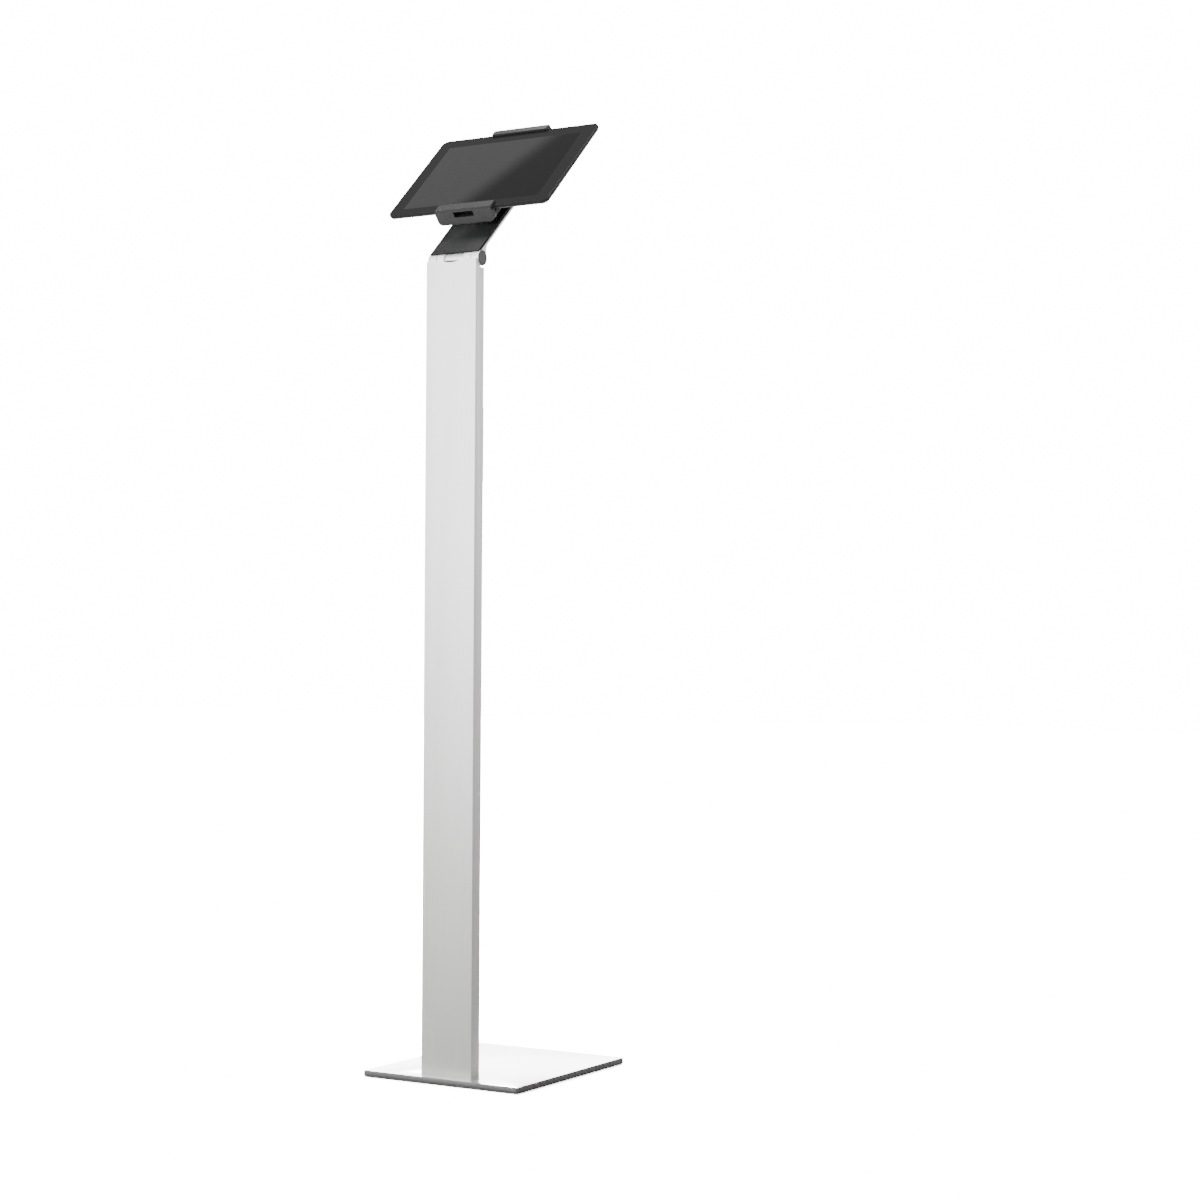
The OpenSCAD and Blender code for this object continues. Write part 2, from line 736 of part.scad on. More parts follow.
module arm_plate() {
    color([0.78, 0.79, 0.8])
    difference() {
        head() translate([-col_w / 2, 0, 0]) rotate([90, 0, 90])
            linear_extrude(height = col_w) arm_side();
        head()
            for (s = [0, 1])
                mirror([s, 0, 0]) arm_corner();
        translate([-knuckle_x0, hinge_y, hinge_h]) rotate([0, 90, 0])
            cylinder(h = 2 * knuckle_x0, r = clear_r);
        hinge_pair(0) cylinder(h = col_w, r = axle_r + run_fit + bush_wall + seat_fit);
        hinge_pair(pocket_x0) cylinder(h = col_w, r = pocket_r);
        translate([-notch_w / 2, hinge_y - col_d, hinge_h - col_d])
            cube([notch_w, 2 * col_d, col_d + notch_rise]);
        swivel() {
            translate([0, 0, arm_n - over]) cylinder(h = arm_t + 2 * over, r = arm_hole_r);
            hub_screw_set(seat_fit);
        }
        head() cover_studs(seat_fit);
    }
}

module cover_studs(gap) {
    for (u = [stud_u0, stud_u1], s = [-1, 1])
        translate([s * stud_x, u, cover_n0 - stud_l - gap])
            cylinder(h = stud_l + over, r = stud_r + gap);
}

module arm_front_cover() {
    color([0.3, 0.31, 0.32])
    difference() {
        head() {
            difference() {
                translate([-col_w / 2 + cover_margin, -cover_low, cover_n0])
                    cube([col_w - 2 * cover_margin, arm_l - over + cover_low, cover_t]);
                translate([0, swivel_u, 0]) cylinder(h = clamp_n, r = hub_r + free_fit);
                translate([-channel_w / 2, -2 * over, cover_n0 - over])
                    cube([channel_w, swivel_u - hub_r, channel_t + over]);
                translate([-channel_w / 2 + over, outlet_u - outlet_l / 2, cover_n0])
                    cube([channel_w - 2 * over, outlet_l, clamp_n]);
            }
            cover_studs(0);
        }
        translate([-col_w, hinge_y, hinge_h]) rotate([0, 90, 0])
            cylinder(h = 2 * col_w, r = clear_r);
    }
}

module hub_screw_set(gap) {
    for (a = [90, 210, 330])
        rotate([0, 0, a]) translate([hub_screw_ring, 0, arm_n]) rotate([180, 0, 0])
            sunk_screw(hub_head_r, hub_head_h, hub_screw_r, hub_screw_l, gap);
}

module hub_screws() {
    color([0.5, 0.5, 0.52]) swivel() hub_screw_set(0);
}

module swivel_hub() {
    color([0.1, 0.1, 0.11])
    swivel()
        difference() {
            translate([0, 0, cover_n0]) cylinder(h = hub_t, r = hub_r);
            translate([0, 0, cover_n0 - over]) cylinder(h = hub_t + 2 * over, r = bolt_r + run_fit);
            translate([0, 0, cover_n0 - over]) cylinder(h = nut_pocket_d + over, r = nut_pocket_r);
            hub_screw_set(seat_fit);
        }
}

module friction_disc() {
    color([0.6, 0.55, 0.4])
    swivel() translate([0, 0, hub_n1]) ring(hub_r - friction_margin, bolt_r + free_fit, friction_t);
}

module swivel_cap() {
    color([0.75, 0.76, 0.77])
    swivel() {
        translate([0, 0, arm_n - swivel_cap_t]) cylinder(h = swivel_cap_t, r = swivel_cap_r);
        translate([0, 0, arm_n - swivel_cap_t / 2])
            cylinder(h = swivel_cap_spigot + swivel_cap_t / 2, r = arm_hole_r - seat_fit);
    }
}

module plate_screw_set(gap) {
    for (a = [45 : 90 : 315])
        rotate([0, 0, a]) translate([plate_screw_ring, 0, inner_n0])
            sunk_screw(plate_head_r, plate_head_h, plate_screw_r, plate_screw_l, gap);
}

module swivel_plate() {
    color([0.15, 0.15, 0.16])
    swivel()
        difference() {
            translate([0, 0, plate_n0]) cylinder(h = clamp_n - plate_n0, r = hub_r);
            translate([0, 0, plate_n0 - over]) cylinder(h = clamp_n, r = bolt_r + seat_fit);
            translate([0, 0, clamp_n - bolt_head_h])
                hexagon(bolt_flats + 2 * seat_fit, bolt_head_h + over);
            plate_screw_set(seat_fit);
        }
}

module swivel_plate_screws() {
    color([0.5, 0.5, 0.52]) swivel() plate_screw_set(0);
}

module swivel_bolt() {
    color([0.65, 0.65, 0.67])
    swivel() {
        translate([0, 0, clamp_n - bolt_head_h]) hexagon(bolt_flats, bolt_head_h);
        translate([0, 0, nut_seat_n - face_gap - spring_washer_t - swivel_nut_h])
            cylinder(h = clamp_n - nut_seat_n + spring_washer_t + swivel_nut_h, r = bolt_r);
    }
}

module spring_washer() {
    color([0.6, 0.6, 0.6])
    swivel() translate([0, 0, nut_seat_n - face_gap - spring_washer_t])
        ring(spring_washer_r, bolt_r + seat_fit, spring_washer_t);
}

module swivel_nut() {
    color([0.7, 0.7, 0.7])
    swivel() translate([0, 0, nut_seat_n - face_gap - spring_washer_t - swivel_nut_h])
        difference() {
            hexagon(swivel_nut_flats, swivel_nut_h);
            translate([0, 0, -over]) cylinder(h = swivel_nut_h + 2 * over, r = bolt_r + seat_fit);
        }
}

module cover_screw_set(gap) {
    for (sx = [-1, 1], su = [-1, 1])
        translate([sx * pillar_x, su * pillar_u, body_n1])
            sunk_screw(cover_head_r, cover_head_h, cover_screw_r, cover_screw_l, gap);
}

module clamp_back() {
    color([0.26, 0.27, 0.28])
    swivel()
        difference() {
            union() {
                translate([-clamp_w / 2, -body_half, clamp_n])
                    cube([clamp_w, 2 * body_half, body_wall]);
                for (s = [0, 1])
                    mirror([s, 0, 0]) translate([clamp_w / 2 - body_wall, -body_half, clamp_n])
                        cube([body_wall, 2 * body_half, clamp_t - body_wall]);
                for (sx = [-1, 1], su = [-1, 1])
                    translate([sx * pillar_x, su * pillar_u, clamp_n])
                        cylinder(h = clamp_t - body_wall, r = pillar_r);
            }
            cover_screw_set(seat_fit);
            plate_screw_set(seat_fit);
            translate([0, 0, clamp_n - over]) cylinder(h = clamp_t, r = pin_r + seat_fit);
        }
}

module clamp_front() {
    color([0.2, 0.2, 0.21])
    swivel()
        difference() {
            translate([-clamp_w / 2, -body_half, inner_n1])
                cube([clamp_w, 2 * body_half, body_wall]);
            cover_screw_set(seat_fit);
            translate([0, 0, clamp_n]) cylinder(h = clamp_t - body_wall / 2, r = pin_r + seat_fit);
        }
}

module clamp_screws() {
    color([0.4, 0.4, 0.42]) swivel() cover_screw_set(0);
}

module clamp_pads() {
    color([0.1, 0.1, 0.1])
    swivel()
        for (s = [-1, 1])
            translate([-pad_l / 2, s * pad_u - pad_w / 2, body_n1]) cube([pad_l, pad_w, pad_t]);
}

module lock_rack() {
    color([0.6, 0.6, 0.62])
    swivel()
        translate([lock_bar_x, -lock_tooth_u + lock_pitch / 2 - lock_tooth_w / 2, inner_n0]) {
            for (i = [0 : lock_steps])
                translate([0, -i * lock_pitch, 0])
                    cube([lock_bar_t + free_fit + over, lock_tooth_w, lock_rack_h]);
            translate([lock_bar_t + free_fit, -lock_steps * lock_pitch, 0])
                cube([over, lock_steps * lock_pitch + lock_tooth_w, lock_rack_h]);
        }
}

// one tooth pointing along +x, its pitch line at x = 0
module tooth(h, root) {
    linear_extrude(height = h)
        polygon([[-root, -tooth_mid / 2], [0, -tooth_mid / 2], [tooth_up, -tooth_tip / 2],
            [tooth_up, tooth_tip / 2], [0, tooth_mid / 2], [-root, tooth_mid / 2]]);
}

module pinion() {
    color([0.8, 0.78, 0.7])
    swivel() translate([0, 0, slide_n0])
        difference() {
            union() {
                cylinder(h = slide_n1 - slide_n0, r = pinion_r - tooth_down);
                for (i = [0 : pinion_teeth - 1])
                    rotate([0, 0, i * 360 / pinion_teeth]) translate([pinion_r, 0, 0])
                        tooth(slide_n1 - slide_n0, tooth_down + tooth_root);
            }
            translate([0, 0, -over]) cylinder(h = clamp_t, r = pin_r + run_fit);
        }
}

module pinion_pin() {
    color([0.65, 0.65, 0.67])
    swivel() translate([0, 0, clamp_n])
        cylinder(h = clamp_t - body_wall / 2, r = pin_r);
}

// a slide that runs towards +y, with its rack beside the pinion at -x
tooth_step = 2 * PI * pinion_r / pinion_teeth;
first_tooth = ceil((over - rack_reach) / tooth_step - 0.5);
last_tooth = floor((slide_from - over) / tooth_step - 0.5);

module slide_body() {
    h = slide_n1 - slide_n0;
    translate([-slide_x, slide_from, slide_n0])
        cube([2 * slide_x, jaw_in - slide_from + slide_grip, h]);
    translate([-rack_x1, -rack_reach, slide_n0])
        cube([rack_x1 - pinion_r - tooth_down, rack_reach + slide_from + over, h]);
    for (k = [first_tooth : last_tooth])
        translate([-pinion_r, (k + 0.5) * tooth_step, slide_n0]) tooth(h, tooth_down + tooth_root);
}

module jaw_screw_set(gap) {
    for (s = [-1, 1])
        translate([s * jaw_screw_x, jaw_in + slide_grip / 2, clamp_n]) rotate([180, 0, 0])
            sunk_screw(jaw_head_r, jaw_head_h, jaw_screw_r, jaw_screw_l, gap);
}

// a hooked jaw at the +y end, its lip reaching back over the glass
module hook(lip) {
    r = jaw_corner_r;
    difference() {
        union() {
            translate([-clamp_w / 2, jaw_in, clamp_n + r]) cube([clamp_w, jaw_t, jaw_h - r]);
            translate([-clamp_w / 2 + r, jaw_in, clamp_n]) cube([clamp_w - 2 * r, jaw_t, jaw_h]);
            for (s = [-1, 1])
                translate([s * (clamp_w / 2 - r), jaw_out, clamp_n + r]) rotate([90, 0, 0])
                    cylinder(h = jaw_t, r = r);
            translate([-clamp_w / 2, tablet_h / 2 - lip, lip_n0])
                cube([clamp_w, jaw_out - tablet_h / 2 + lip - jaw_bevel, jaw_n1 - lip_n0]);
        }
        translate([-clamp_w, jaw_out, jaw_n1]) rotate([90, 0, 90])
            linear_extrude(height = 2 * clamp_w)
                polygon([[-jaw_bevel, 0], [0, -jaw_bevel], [over, -jaw_bevel], [over, over],
                    [-jaw_bevel, over]]);
        translate([-slide_x - seat_fit, jaw_in - over, slide_n0 - seat_fit])
            cube([2 * (slide_x + seat_fit), slide_grip + over + seat_fit,
                slide_n1 - slide_n0 + 2 * seat_fit]);
        jaw_screw_set(seat_fit);
    }
}

module upper_slide() {
    color([0.35, 0.36, 0.37])
    swivel()
        difference() {
            slide_body();
            jaw_screw_set(seat_fit);
        }
}

module upper_jaw() {
    color([0.22, 0.23, 0.24]) swivel() hook(upper_lip);
}

module upper_jaw_screws() {
    color([0.4, 0.4, 0.42]) swivel() jaw_screw_set(0);
}

module upper_jaw_pad() {
    color([0.1, 0.1, 0.1])
    swivel() translate([-jaw_pad_l / 2, tablet_h / 2 + face_gap, tablet_n0 + over / 2])
        cube([jaw_pad_l, jaw_pad_t, tablet_t - over]);
}

module lower_slide() {
    color([0.35, 0.36, 0.37])
    swivel()
        difference() {
            rotate([0, 0, 180]) slide_body();
            rotate([0, 0, 180]) jaw_screw_set(seat_fit);
            translate([lock_bar_x - free_fit, -jaw_out, slide_n0 - over])
                cube([lock_bar_t + 3 * free_fit + over, jaw_out - slide_from + over,
                    slide_n1 - slide_n0 + over - bar_roof]);
            translate([lock_bar_x - free_fit, -jaw_out, slide_n0 - over])
                cube([lock_bar_t + 3 * free_fit + over, jaw_t, slide_n1 - slide_n0 + 2 * over]);
        }
}

module lower_jaw() {
    color([0.22, 0.23, 0.24])
    swivel()
        difference() {
            rotate([0, 0, 180]) hook(lower_lip);
            translate([-charge_w / 2, -jaw_out - over, clamp_n + charge_n - charge_h / 2])
                cube([charge_w, jaw_t + 2 * over, charge_h]);
            translate([lock_bar_x, -lock_y, lock_axis_n]) rotate([0, 90, 0])
                cylinder(h = clamp_w, r = lock_r + run_fit);
            translate([lock_bar_x - free_fit - crank_room, -jaw_out + jaw_wall, bar_n0 - free_fit])
                cube([lock_bar_t + 2 * free_fit, jaw_t - 2 * jaw_wall + crank_room,
                    bar_end + free_fit - bar_n0 + free_fit]);
        }
}

module lower_jaw_screws() {
    color([0.4, 0.4, 0.42]) swivel() rotate([0, 0, 180]) jaw_screw_set(0);
}

module lower_jaw_pads() {
    color([0.1, 0.1, 0.1])
    swivel()
        for (s = [0, 1])
            mirror([s, 0, 0])
                translate([charge_w / 2 + pad_slot_gap, -jaw_in, tablet_n0 + over / 2])
                    cube([(jaw_pad_l - charge_w) / 2 - pad_slot_gap, jaw_pad_t, tablet_t - over]);
}

module lock_barrel() {
    x0 = lock_bar_x + lock_bar_t + free_fit;
    color([0.12, 0.12, 0.12])
    swivel() translate([0, -lock_y, lock_axis_n]) {
        difference() {
            translate([x0, 0, 0]) rotate([0, 90, 0]) cylinder(h = clamp_w / 2 - x0, r = lock_r);
            translate([clamp_w / 2 - key_d, -key_w / 2, -key_h / 2])
                cube([key_d + over, key_w, key_h]);
        }
        translate([lock_bar_x - crank_room, crank, 0]) rotate([0, 90, 0])
            cylinder(h = lock_bar_t + free_fit + crank_grip, r = crank_r);
    }
}

module lock_bar() {
    leg_d = jaw_t - 2 * jaw_wall - 2 * slide_fit;
    color([0.6, 0.6, 0.62])
    swivel() translate([lock_bar_x, 0, 0])
        difference() {
            union() {
                translate([0, -lock_y - leg_d / 2, bar_n1])
                    cube([lock_bar_t, leg_d, bar_end - bar_n1]);
                translate([0, -lock_y, bar_n1])
                    cube([lock_bar_t, lock_y - lock_tooth_u + lock_tooth_w / 2, bar_arm_h]);
                translate([0, -lock_tooth_u - lock_tooth_w / 2, bar_n0])
                    cube([lock_bar_t, lock_tooth_w, bar_n1 - bar_n0 + over]);
            }
            translate([-over, -lock_y - crank_r - free_fit, lock_axis_n - crank_r - free_fit])
                cube([lock_bar_t + 2 * over, leg_d, 2 * (crank_r + free_fit)]);
        }
}

// a rounded slab whose lower edges are bevelled
module tray(w, d, h, r, b) {
    rotate([90, 0, 0]) translate([0, 0, -d / 2 + r]) linear_extrude(height = d - 2 * r)
        polygon([[-w / 2 + b, 0], [w / 2 - b, 0], [w / 2, b], [w / 2, h], [-w / 2, h],
            [-w / 2, b]]);
    rotate([90, 0, 90]) translate([0, 0, -w / 2 + r]) linear_extrude(height = w - 2 * r)
        polygon([[-d / 2 + b, 0], [d / 2 - b, 0], [d / 2, b], [d / 2, h], [-d / 2, h],
            [-d / 2, b]]);
    for (sx = [-1, 1], sy = [-1, 1])
        translate([sx * (w / 2 - r), sy * (d / 2 - r), 0]) {
            cylinder(h = b, r1 = r - b, r2 = r);
            translate([0, 0, b]) cylinder(h = h - b, r = r);
        }
}

button_n = tablet_n0 + tablet_t / 2;

module button(x, l, gap) {
    translate([x - l / 2 - gap, tablet_h / 2 - button_stem - (gap > 0 ? button_travel : 0) - gap,
            button_n - button_w / 2 - gap])
        cube([l + 2 * gap,
            button_stem + button_proud + (gap > 0 ? button_travel : 0) + gap,
            button_w + 2 * gap]);
}

module tablet_back() {
    color([0.45, 0.46, 0.47])
    swivel()
        difference() {
            translate([0, 0, tablet_n0])
                tray(tablet_w, tablet_h, tablet_t - glass_t, tablet_r, tablet_bevel);
            translate([0, 0, tablet_n0 + tablet_back_t])
                tray(tablet_w - 2 * tablet_rim, tablet_h - 2 * tablet_rim, tablet_t,
                    tablet_r - tablet_rim, tablet_rim / 2);
            button(-power_x, power_l, face_gap);
            button(-volume_x, volume_l, face_gap);
            translate([tablet_w / 2 - 2 * tablet_rim, -port_w / 2, button_n - port_h / 2])
                cube([4 * tablet_rim, port_w, port_h]);
            camera_body(seat_fit);
        }
}

module camera_body(gap) {
    translate([-tablet_w / 2 + camera_in, tablet_h / 2 - camera_in, tablet_n0 - gap])
        cylinder(h = battery_t + gap, r = camera_r + gap);
}

module tablet_glass() {
    color([0.12, 0.12, 0.13])
    swivel() translate([0, 0, glass_n - glass_t])
        slab(tablet_w - over, tablet_h - over, glass_t, tablet_r - over / 2);
}

module tablet_display() {
    color([0.3, 0.3, 0.31])
    swivel() translate([0, 0, glass_n - glass_t - display_t])
        slab(tablet_w - 2 * display_mx, tablet_h - 2 * display_mu, display_t, over);
}

module tablet_battery() {
    color([0.2, 0.2, 0.2])
    swivel() translate([-inside_room, 0, tablet_n0 + tablet_back_t])
        slab(tablet_w - 4 * inside_room, tablet_h - 2 * inside_room, battery_t, 2 * over);
}

module tablet_board() {
    color([0.15, 0.35, 0.2])
    swivel() translate([(tablet_w - board_w) / 2 - board_side, 0, tablet_n0 + tablet_back_t])
        slab(board_w, tablet_h - 2 * inside_room, board_t, over);
}

module tablet_camera() {
    color([0.05, 0.05, 0.06]) swivel() camera_body(0);
}

module power_button() {
    color([0.3, 0.3, 0.31]) swivel() button(-power_x, power_l, 0);
}

module volume_button() {
    color([0.3, 0.3, 0.31]) swivel() button(-volume_x, volume_l, 0);
}

// the cable box is drawn lying down, x across, y up the column, z away from it
module on_column(n) {
    translate([0, col_y + col_d + n, box_z]) rotate([90, 0, 0]) mirror([0, 0, 1]) children();
}

module cable_box_carrier() {
    edge = 2 * box_wall + 2 * slide_fit;
    color([0.3, 0.3, 0.31])
    on_column(face_gap)
        difference() {
            union() {
                slab(box_w - edge, box_h - edge, carrier_t, box_corner_r - over);
                for (s = [-1, 1])
                    translate([0, s * post_z, 0])
                        cylinder(h = carrier_t + post_h, r = post_r);
            }
            for (s = [-1, 1])
                translate([0, s * post_z, carrier_t])
                    cylinder(h = post_h + over, r = post_r - post_wall);
            translate([0, 0, -over]) cylinder(h = carrier_t + 2 * over, r = box_screw_r + seat_fit);
        }
}

module cable_box_screw() {
    color([0.6, 0.6, 0.62])
    on_column(face_gap) {
        translate([0, 0, carrier_t]) cylinder(h = box_head_h, r = box_head_r);
        translate([0, 0, -col_wall - 2 * face_gap - slot_nut_t])
            cylinder(h = col_wall + 2 * face_gap + slot_nut_t + carrier_t + over, r = box_screw_r);
    }
}

module cable_box_slot_nut() {
    color([0.6, 0.6, 0.62])
    on_column(face_gap)
        difference() {
            translate([-slot_nut_w / 2, -slot_nut_h / 2, -col_wall - 2 * face_gap - slot_nut_t])
                cube([slot_nut_w, slot_nut_h, slot_nut_t]);
            translate([0, 0, -2 * col_d]) cylinder(h = 2 * col_d, r = box_screw_r + seat_fit);
        }
}

module cable_box_cover() {
    color([0.38, 0.39, 0.4])
    on_column(face_gap)
        difference() {
            slab(box_w, box_h, box_d, box_corner_r);
            translate([0, 0, -over])
                slab(box_w - 2 * box_wall, box_h - 2 * box_wall, box_d - box_wall + over,
                    box_corner_r - over);
            for (s = [-1, 1])
                translate([-box_w, s * (box_h / 2 - mouth_edge - mouth_h / 2) - mouth_h / 2,
                        -over])
                    cube([2 * box_w, mouth_h, mouth_d + over]);
        }
}

base_plate();
base_mat();
base_screws();
foot_blocks();
column();
column_lock_screw();
hinge_ears();
hinge_axle();
axle_tube();
friction_washers();
disc_springs();
axle_nuts();
hinge_bushes();
hinge_end_caps();
arm_plate();
arm_front_cover();
swivel_hub();
hub_screws();
friction_disc();
swivel_cap();
swivel_plate();
swivel_plate_screws();
swivel_bolt();
spring_washer();
swivel_nut();
clamp_back();
clamp_front();
clamp_screws();
clamp_pads();
lock_rack();
pinion();
pinion_pin();
upper_slide();
upper_jaw();
upper_jaw_screws();
upper_jaw_pad();
lower_slide();
lower_jaw();
lower_jaw_screws();
lower_jaw_pads();
lock_barrel();
lock_bar();
tablet_back();
tablet_glass();
tablet_display();
tablet_battery();
tablet_board();
tablet_camera();
power_button();
volume_button();
cable_box_carrier();
cable_box_screw();
cable_box_slot_nut();
cable_box_cover();
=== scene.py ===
# A floor stand for a tablet: plate, column, hinge, tilting arm, swivelling clamp and tablet.
# Lengths are metres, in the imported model's frame: +Z up, front towards -Y.
import json
import math

import bmesh
import bpy
from mathutils import Matrix, Vector


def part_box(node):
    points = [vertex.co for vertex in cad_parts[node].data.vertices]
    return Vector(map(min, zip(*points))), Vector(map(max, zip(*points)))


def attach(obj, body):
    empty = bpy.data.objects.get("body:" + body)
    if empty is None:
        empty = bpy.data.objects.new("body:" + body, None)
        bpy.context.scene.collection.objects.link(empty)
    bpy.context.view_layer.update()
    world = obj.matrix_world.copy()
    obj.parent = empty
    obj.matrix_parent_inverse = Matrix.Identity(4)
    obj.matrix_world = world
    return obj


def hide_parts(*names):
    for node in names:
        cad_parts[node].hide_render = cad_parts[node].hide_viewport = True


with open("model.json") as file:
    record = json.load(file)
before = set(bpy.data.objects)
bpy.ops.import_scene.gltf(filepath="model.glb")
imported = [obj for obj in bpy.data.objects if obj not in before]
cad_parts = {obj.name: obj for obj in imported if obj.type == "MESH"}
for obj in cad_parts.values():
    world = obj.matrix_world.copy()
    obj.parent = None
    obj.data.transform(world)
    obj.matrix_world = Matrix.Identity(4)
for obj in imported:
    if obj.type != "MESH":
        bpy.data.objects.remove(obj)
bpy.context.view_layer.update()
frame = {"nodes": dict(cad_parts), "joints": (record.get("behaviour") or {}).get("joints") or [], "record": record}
nodes = frame["nodes"]
joints = {joint["name"]: joint for joint in frame["joints"]}
body_of_node = {
    node: body for body, members in frame["record"]["behaviour"]["bodies"].items() for node in members
}

MM = 0.001

# the head's frame: across, along the arm, and towards the glass
HINGE = Vector(joints["arm_tilt"]["pos_m"])
SWIVEL_AXIS = Vector(joints["clamp_swivel"]["axis"]).normalized()
ARM_AXIS = Vector(joints["upper_jaw_slide"]["axis"]).normalized()
HEAD = Matrix((Vector((1, 0, 0)), ARM_AXIS, SWIVEL_AXIS)).transposed().to_4x4()
HEAD.translation = HINGE
TO_HEAD = HEAD.inverted()
TILT = math.atan2(-SWIVEL_AXIS.y, SWIVEL_AXIS.z)


def head_box(node):
    """Lowest and highest corner of a CAD node in the head's frame."""
    points = [TO_HEAD @ vertex.co for vertex in nodes[node].data.vertices]
    low = Vector([min(point[i] for point in points) for i in range(3)])
    high = Vector([max(point[i] for point in points) for i in range(3)])
    return low, high


# camera: the photograph's left view

IMAGE = 1200
AIM_HEIGHT = 0.620
CAMERA_YAW = math.radians(31.72)
CAMERA_PITCH = math.radians(-1.10)
CAMERA_ROLL = math.radians(0.35)
CAMERA_DISTANCE = 3.267
PIXELS_PER_METRE = 748.0
CENTRE_PX = (498.5, 605.0)
SENSOR = 36.0
CLIP_END = 50


def make_camera():
    back = Vector((
        math.sin(CAMERA_YAW) * math.cos(CAMERA_PITCH),
        -math.cos(CAMERA_YAW) * math.cos(CAMERA_PITCH),
        math.sin(CAMERA_PITCH),
    ))
    right = Vector((math.cos(CAMERA_YAW), math.sin(CAMERA_YAW), 0))
    up = back.cross(right)
    turned_right = math.cos(CAMERA_ROLL) * right + math.sin(CAMERA_ROLL) * up
    turned_up = math.cos(CAMERA_ROLL) * up - math.sin(CAMERA_ROLL) * right
    data = bpy.data.cameras.new("camera")
    data.sensor_width = SENSOR
    data.lens = PIXELS_PER_METRE * CAMERA_DISTANCE / IMAGE * SENSOR
    data.shift_x = (IMAGE / 2 - CENTRE_PX[0]) / IMAGE
    data.shift_y = (CENTRE_PX[1] - IMAGE / 2) / IMAGE
    data.clip_end = CLIP_END
    camera = bpy.data.objects.new("camera", data)
    place = Matrix((turned_right, turned_up, back)).transposed().to_4x4()
    place.translation = Vector((0, 0, AIM_HEIGHT)) + back * CAMERA_DISTANCE
    camera.matrix_world = place
    bpy.context.scene.collection.objects.link(camera)
    bpy.context.scene.camera = camera


make_camera()


# shader helpers

WHITE = (1, 1, 1)


def node_tree(name):
    material = bpy.data.materials.new(name)
    material.use_nodes = True
    tree = material.node_tree
    return material, tree, tree.nodes["Principled BSDF"]


def feed(tree, value, socket):
    """Sets a socket to a number or a colour, or links it to another socket."""
    if isinstance(value, (int, float)):
        socket.default_value = value
    elif isinstance(value, tuple):
        socket.default_value = (*value, 1)
    else:
        tree.links.new(value, socket)


def maths(tree, operation, a, b):
    node = tree.nodes.new("ShaderNodeMath")
    node.operation = operation
    for socket, value in zip(node.inputs, (a, b)):
        feed(tree, value, socket)
    return node.outputs["Value"]


def between(tree, value, start, end, first, last, smooth=True):
    """A change from the first value to the last, as the value goes from start to end."""
    node = tree.nodes.new("ShaderNodeMapRange")
    node.interpolation_type = "SMOOTHSTEP" if smooth else "LINEAR"
    for socket, number in (("From Min", start), ("From Max", end), ("To Min", first), ("To Max", last)):
        node.inputs[socket].default_value = number
    tree.links.new(value, node.inputs["Value"])
    return node.outputs["Result"]


def along_axes(tree, vector):
    """The X, Y and Z of a vector."""
    split = tree.nodes.new("ShaderNodeSeparateXYZ")
    tree.links.new(vector, split.inputs["Vector"])
    return split.outputs["X"], split.outputs["Y"], split.outputs["Z"]


def placed(tree, scale=(1, 1, 1), turn=(0, 0, 0), shift=(0, 0, 0)):
    """Object coordinates stretched, turned and shifted by a Mapping node."""
    place = tree.nodes.new("ShaderNodeTexCoord")
    mapping = tree.nodes.new("ShaderNodeMapping")
    mapping.inputs["Scale"].default_value = scale
    mapping.inputs["Rotation"].default_value = turn
    mapping.inputs["Location"].default_value = shift
    tree.links.new(place.outputs["Object"], mapping.inputs["Vector"])
    return mapping.outputs["Vector"]


def noise(tree, vector, scale, detail=3.0, roughness=0.5):
    node = tree.nodes.new("ShaderNodeTexNoise")
    node.inputs["Scale"].default_value = scale
    node.inputs["Detail"].default_value = detail
    node.inputs["Roughness"].default_value = roughness
    tree.links.new(vector, node.inputs["Vector"])
    return node.outputs["Fac"]


def ramp(tree, value, stops):
    """A colour ramp: stops are (position, (r, g, b)) pairs."""
    node = tree.nodes.new("ShaderNodeValToRGB")
    elements = node.color_ramp.elements
    while len(elements) < len(stops):
        elements.new(0.5)
    for element, (position, colour) in zip(elements, stops):
        element.position = position
        element.color = (*colour, 1)
    tree.links.new(value, node.inputs["Fac"])
    return node.outputs["Color"]


def spread(tree, value, low, high):
    """Turns a 0 to 1 value into one between low and high."""
    return between(tree, value, 0, 1, low, high, smooth=False)


def step(tree, value, edge, soft):
    """0 below the edge and 1 above it, over a soft width."""
    return between(tree, value, edge - soft / 2, edge + soft / 2, 0, 1)


def blend_colours(tree, factor, first, second, kind="MIX"):
    node = tree.nodes.new("ShaderNodeMix")
    node.data_type = "RGBA"
    node.blend_type = kind
    feed(tree, factor, node.inputs["Factor"])
    feed(tree, first, node.inputs["A"])
    feed(tree, second, node.inputs["B"])
    return node.outputs["Result"]


def multiplied(tree, first, second):
    return blend_colours(tree, 1.0, first, second, "MULTIPLY")


def shade(colour, factor):
    return tuple(min(1.0, channel * factor) for channel in colour)


def varied(tree, value, colour, darkest, lightest, stops=(0.3, 0.7)):
    """A colour that goes from its darkest to its lightest share as a pattern passes the two stops."""
    return ramp(tree, value, list(zip(stops, (shade(colour, darkest), shade(colour, lightest)))))


def surfaced(tree, shader, tone, pattern, rough, relief, depth):
    """Gives a shader its tone, and roughness and small relief that follow a pattern."""
    tree.links.new(tone, shader.inputs["Base Color"])
    tree.links.new(spread(tree, pattern, *rough), shader.inputs["Roughness"])
    bump = tree.nodes.new("ShaderNodeBump")
    bump.inputs["Strength"].default_value = relief
    bump.inputs["Distance"].default_value = depth
    tree.links.new(pattern, bump.inputs["Height"])
    tree.links.new(bump.outputs["Normal"], shader.inputs["Normal"])


# studio: a pale floor and four large soft lights; the backdrop and floor look white to the camera

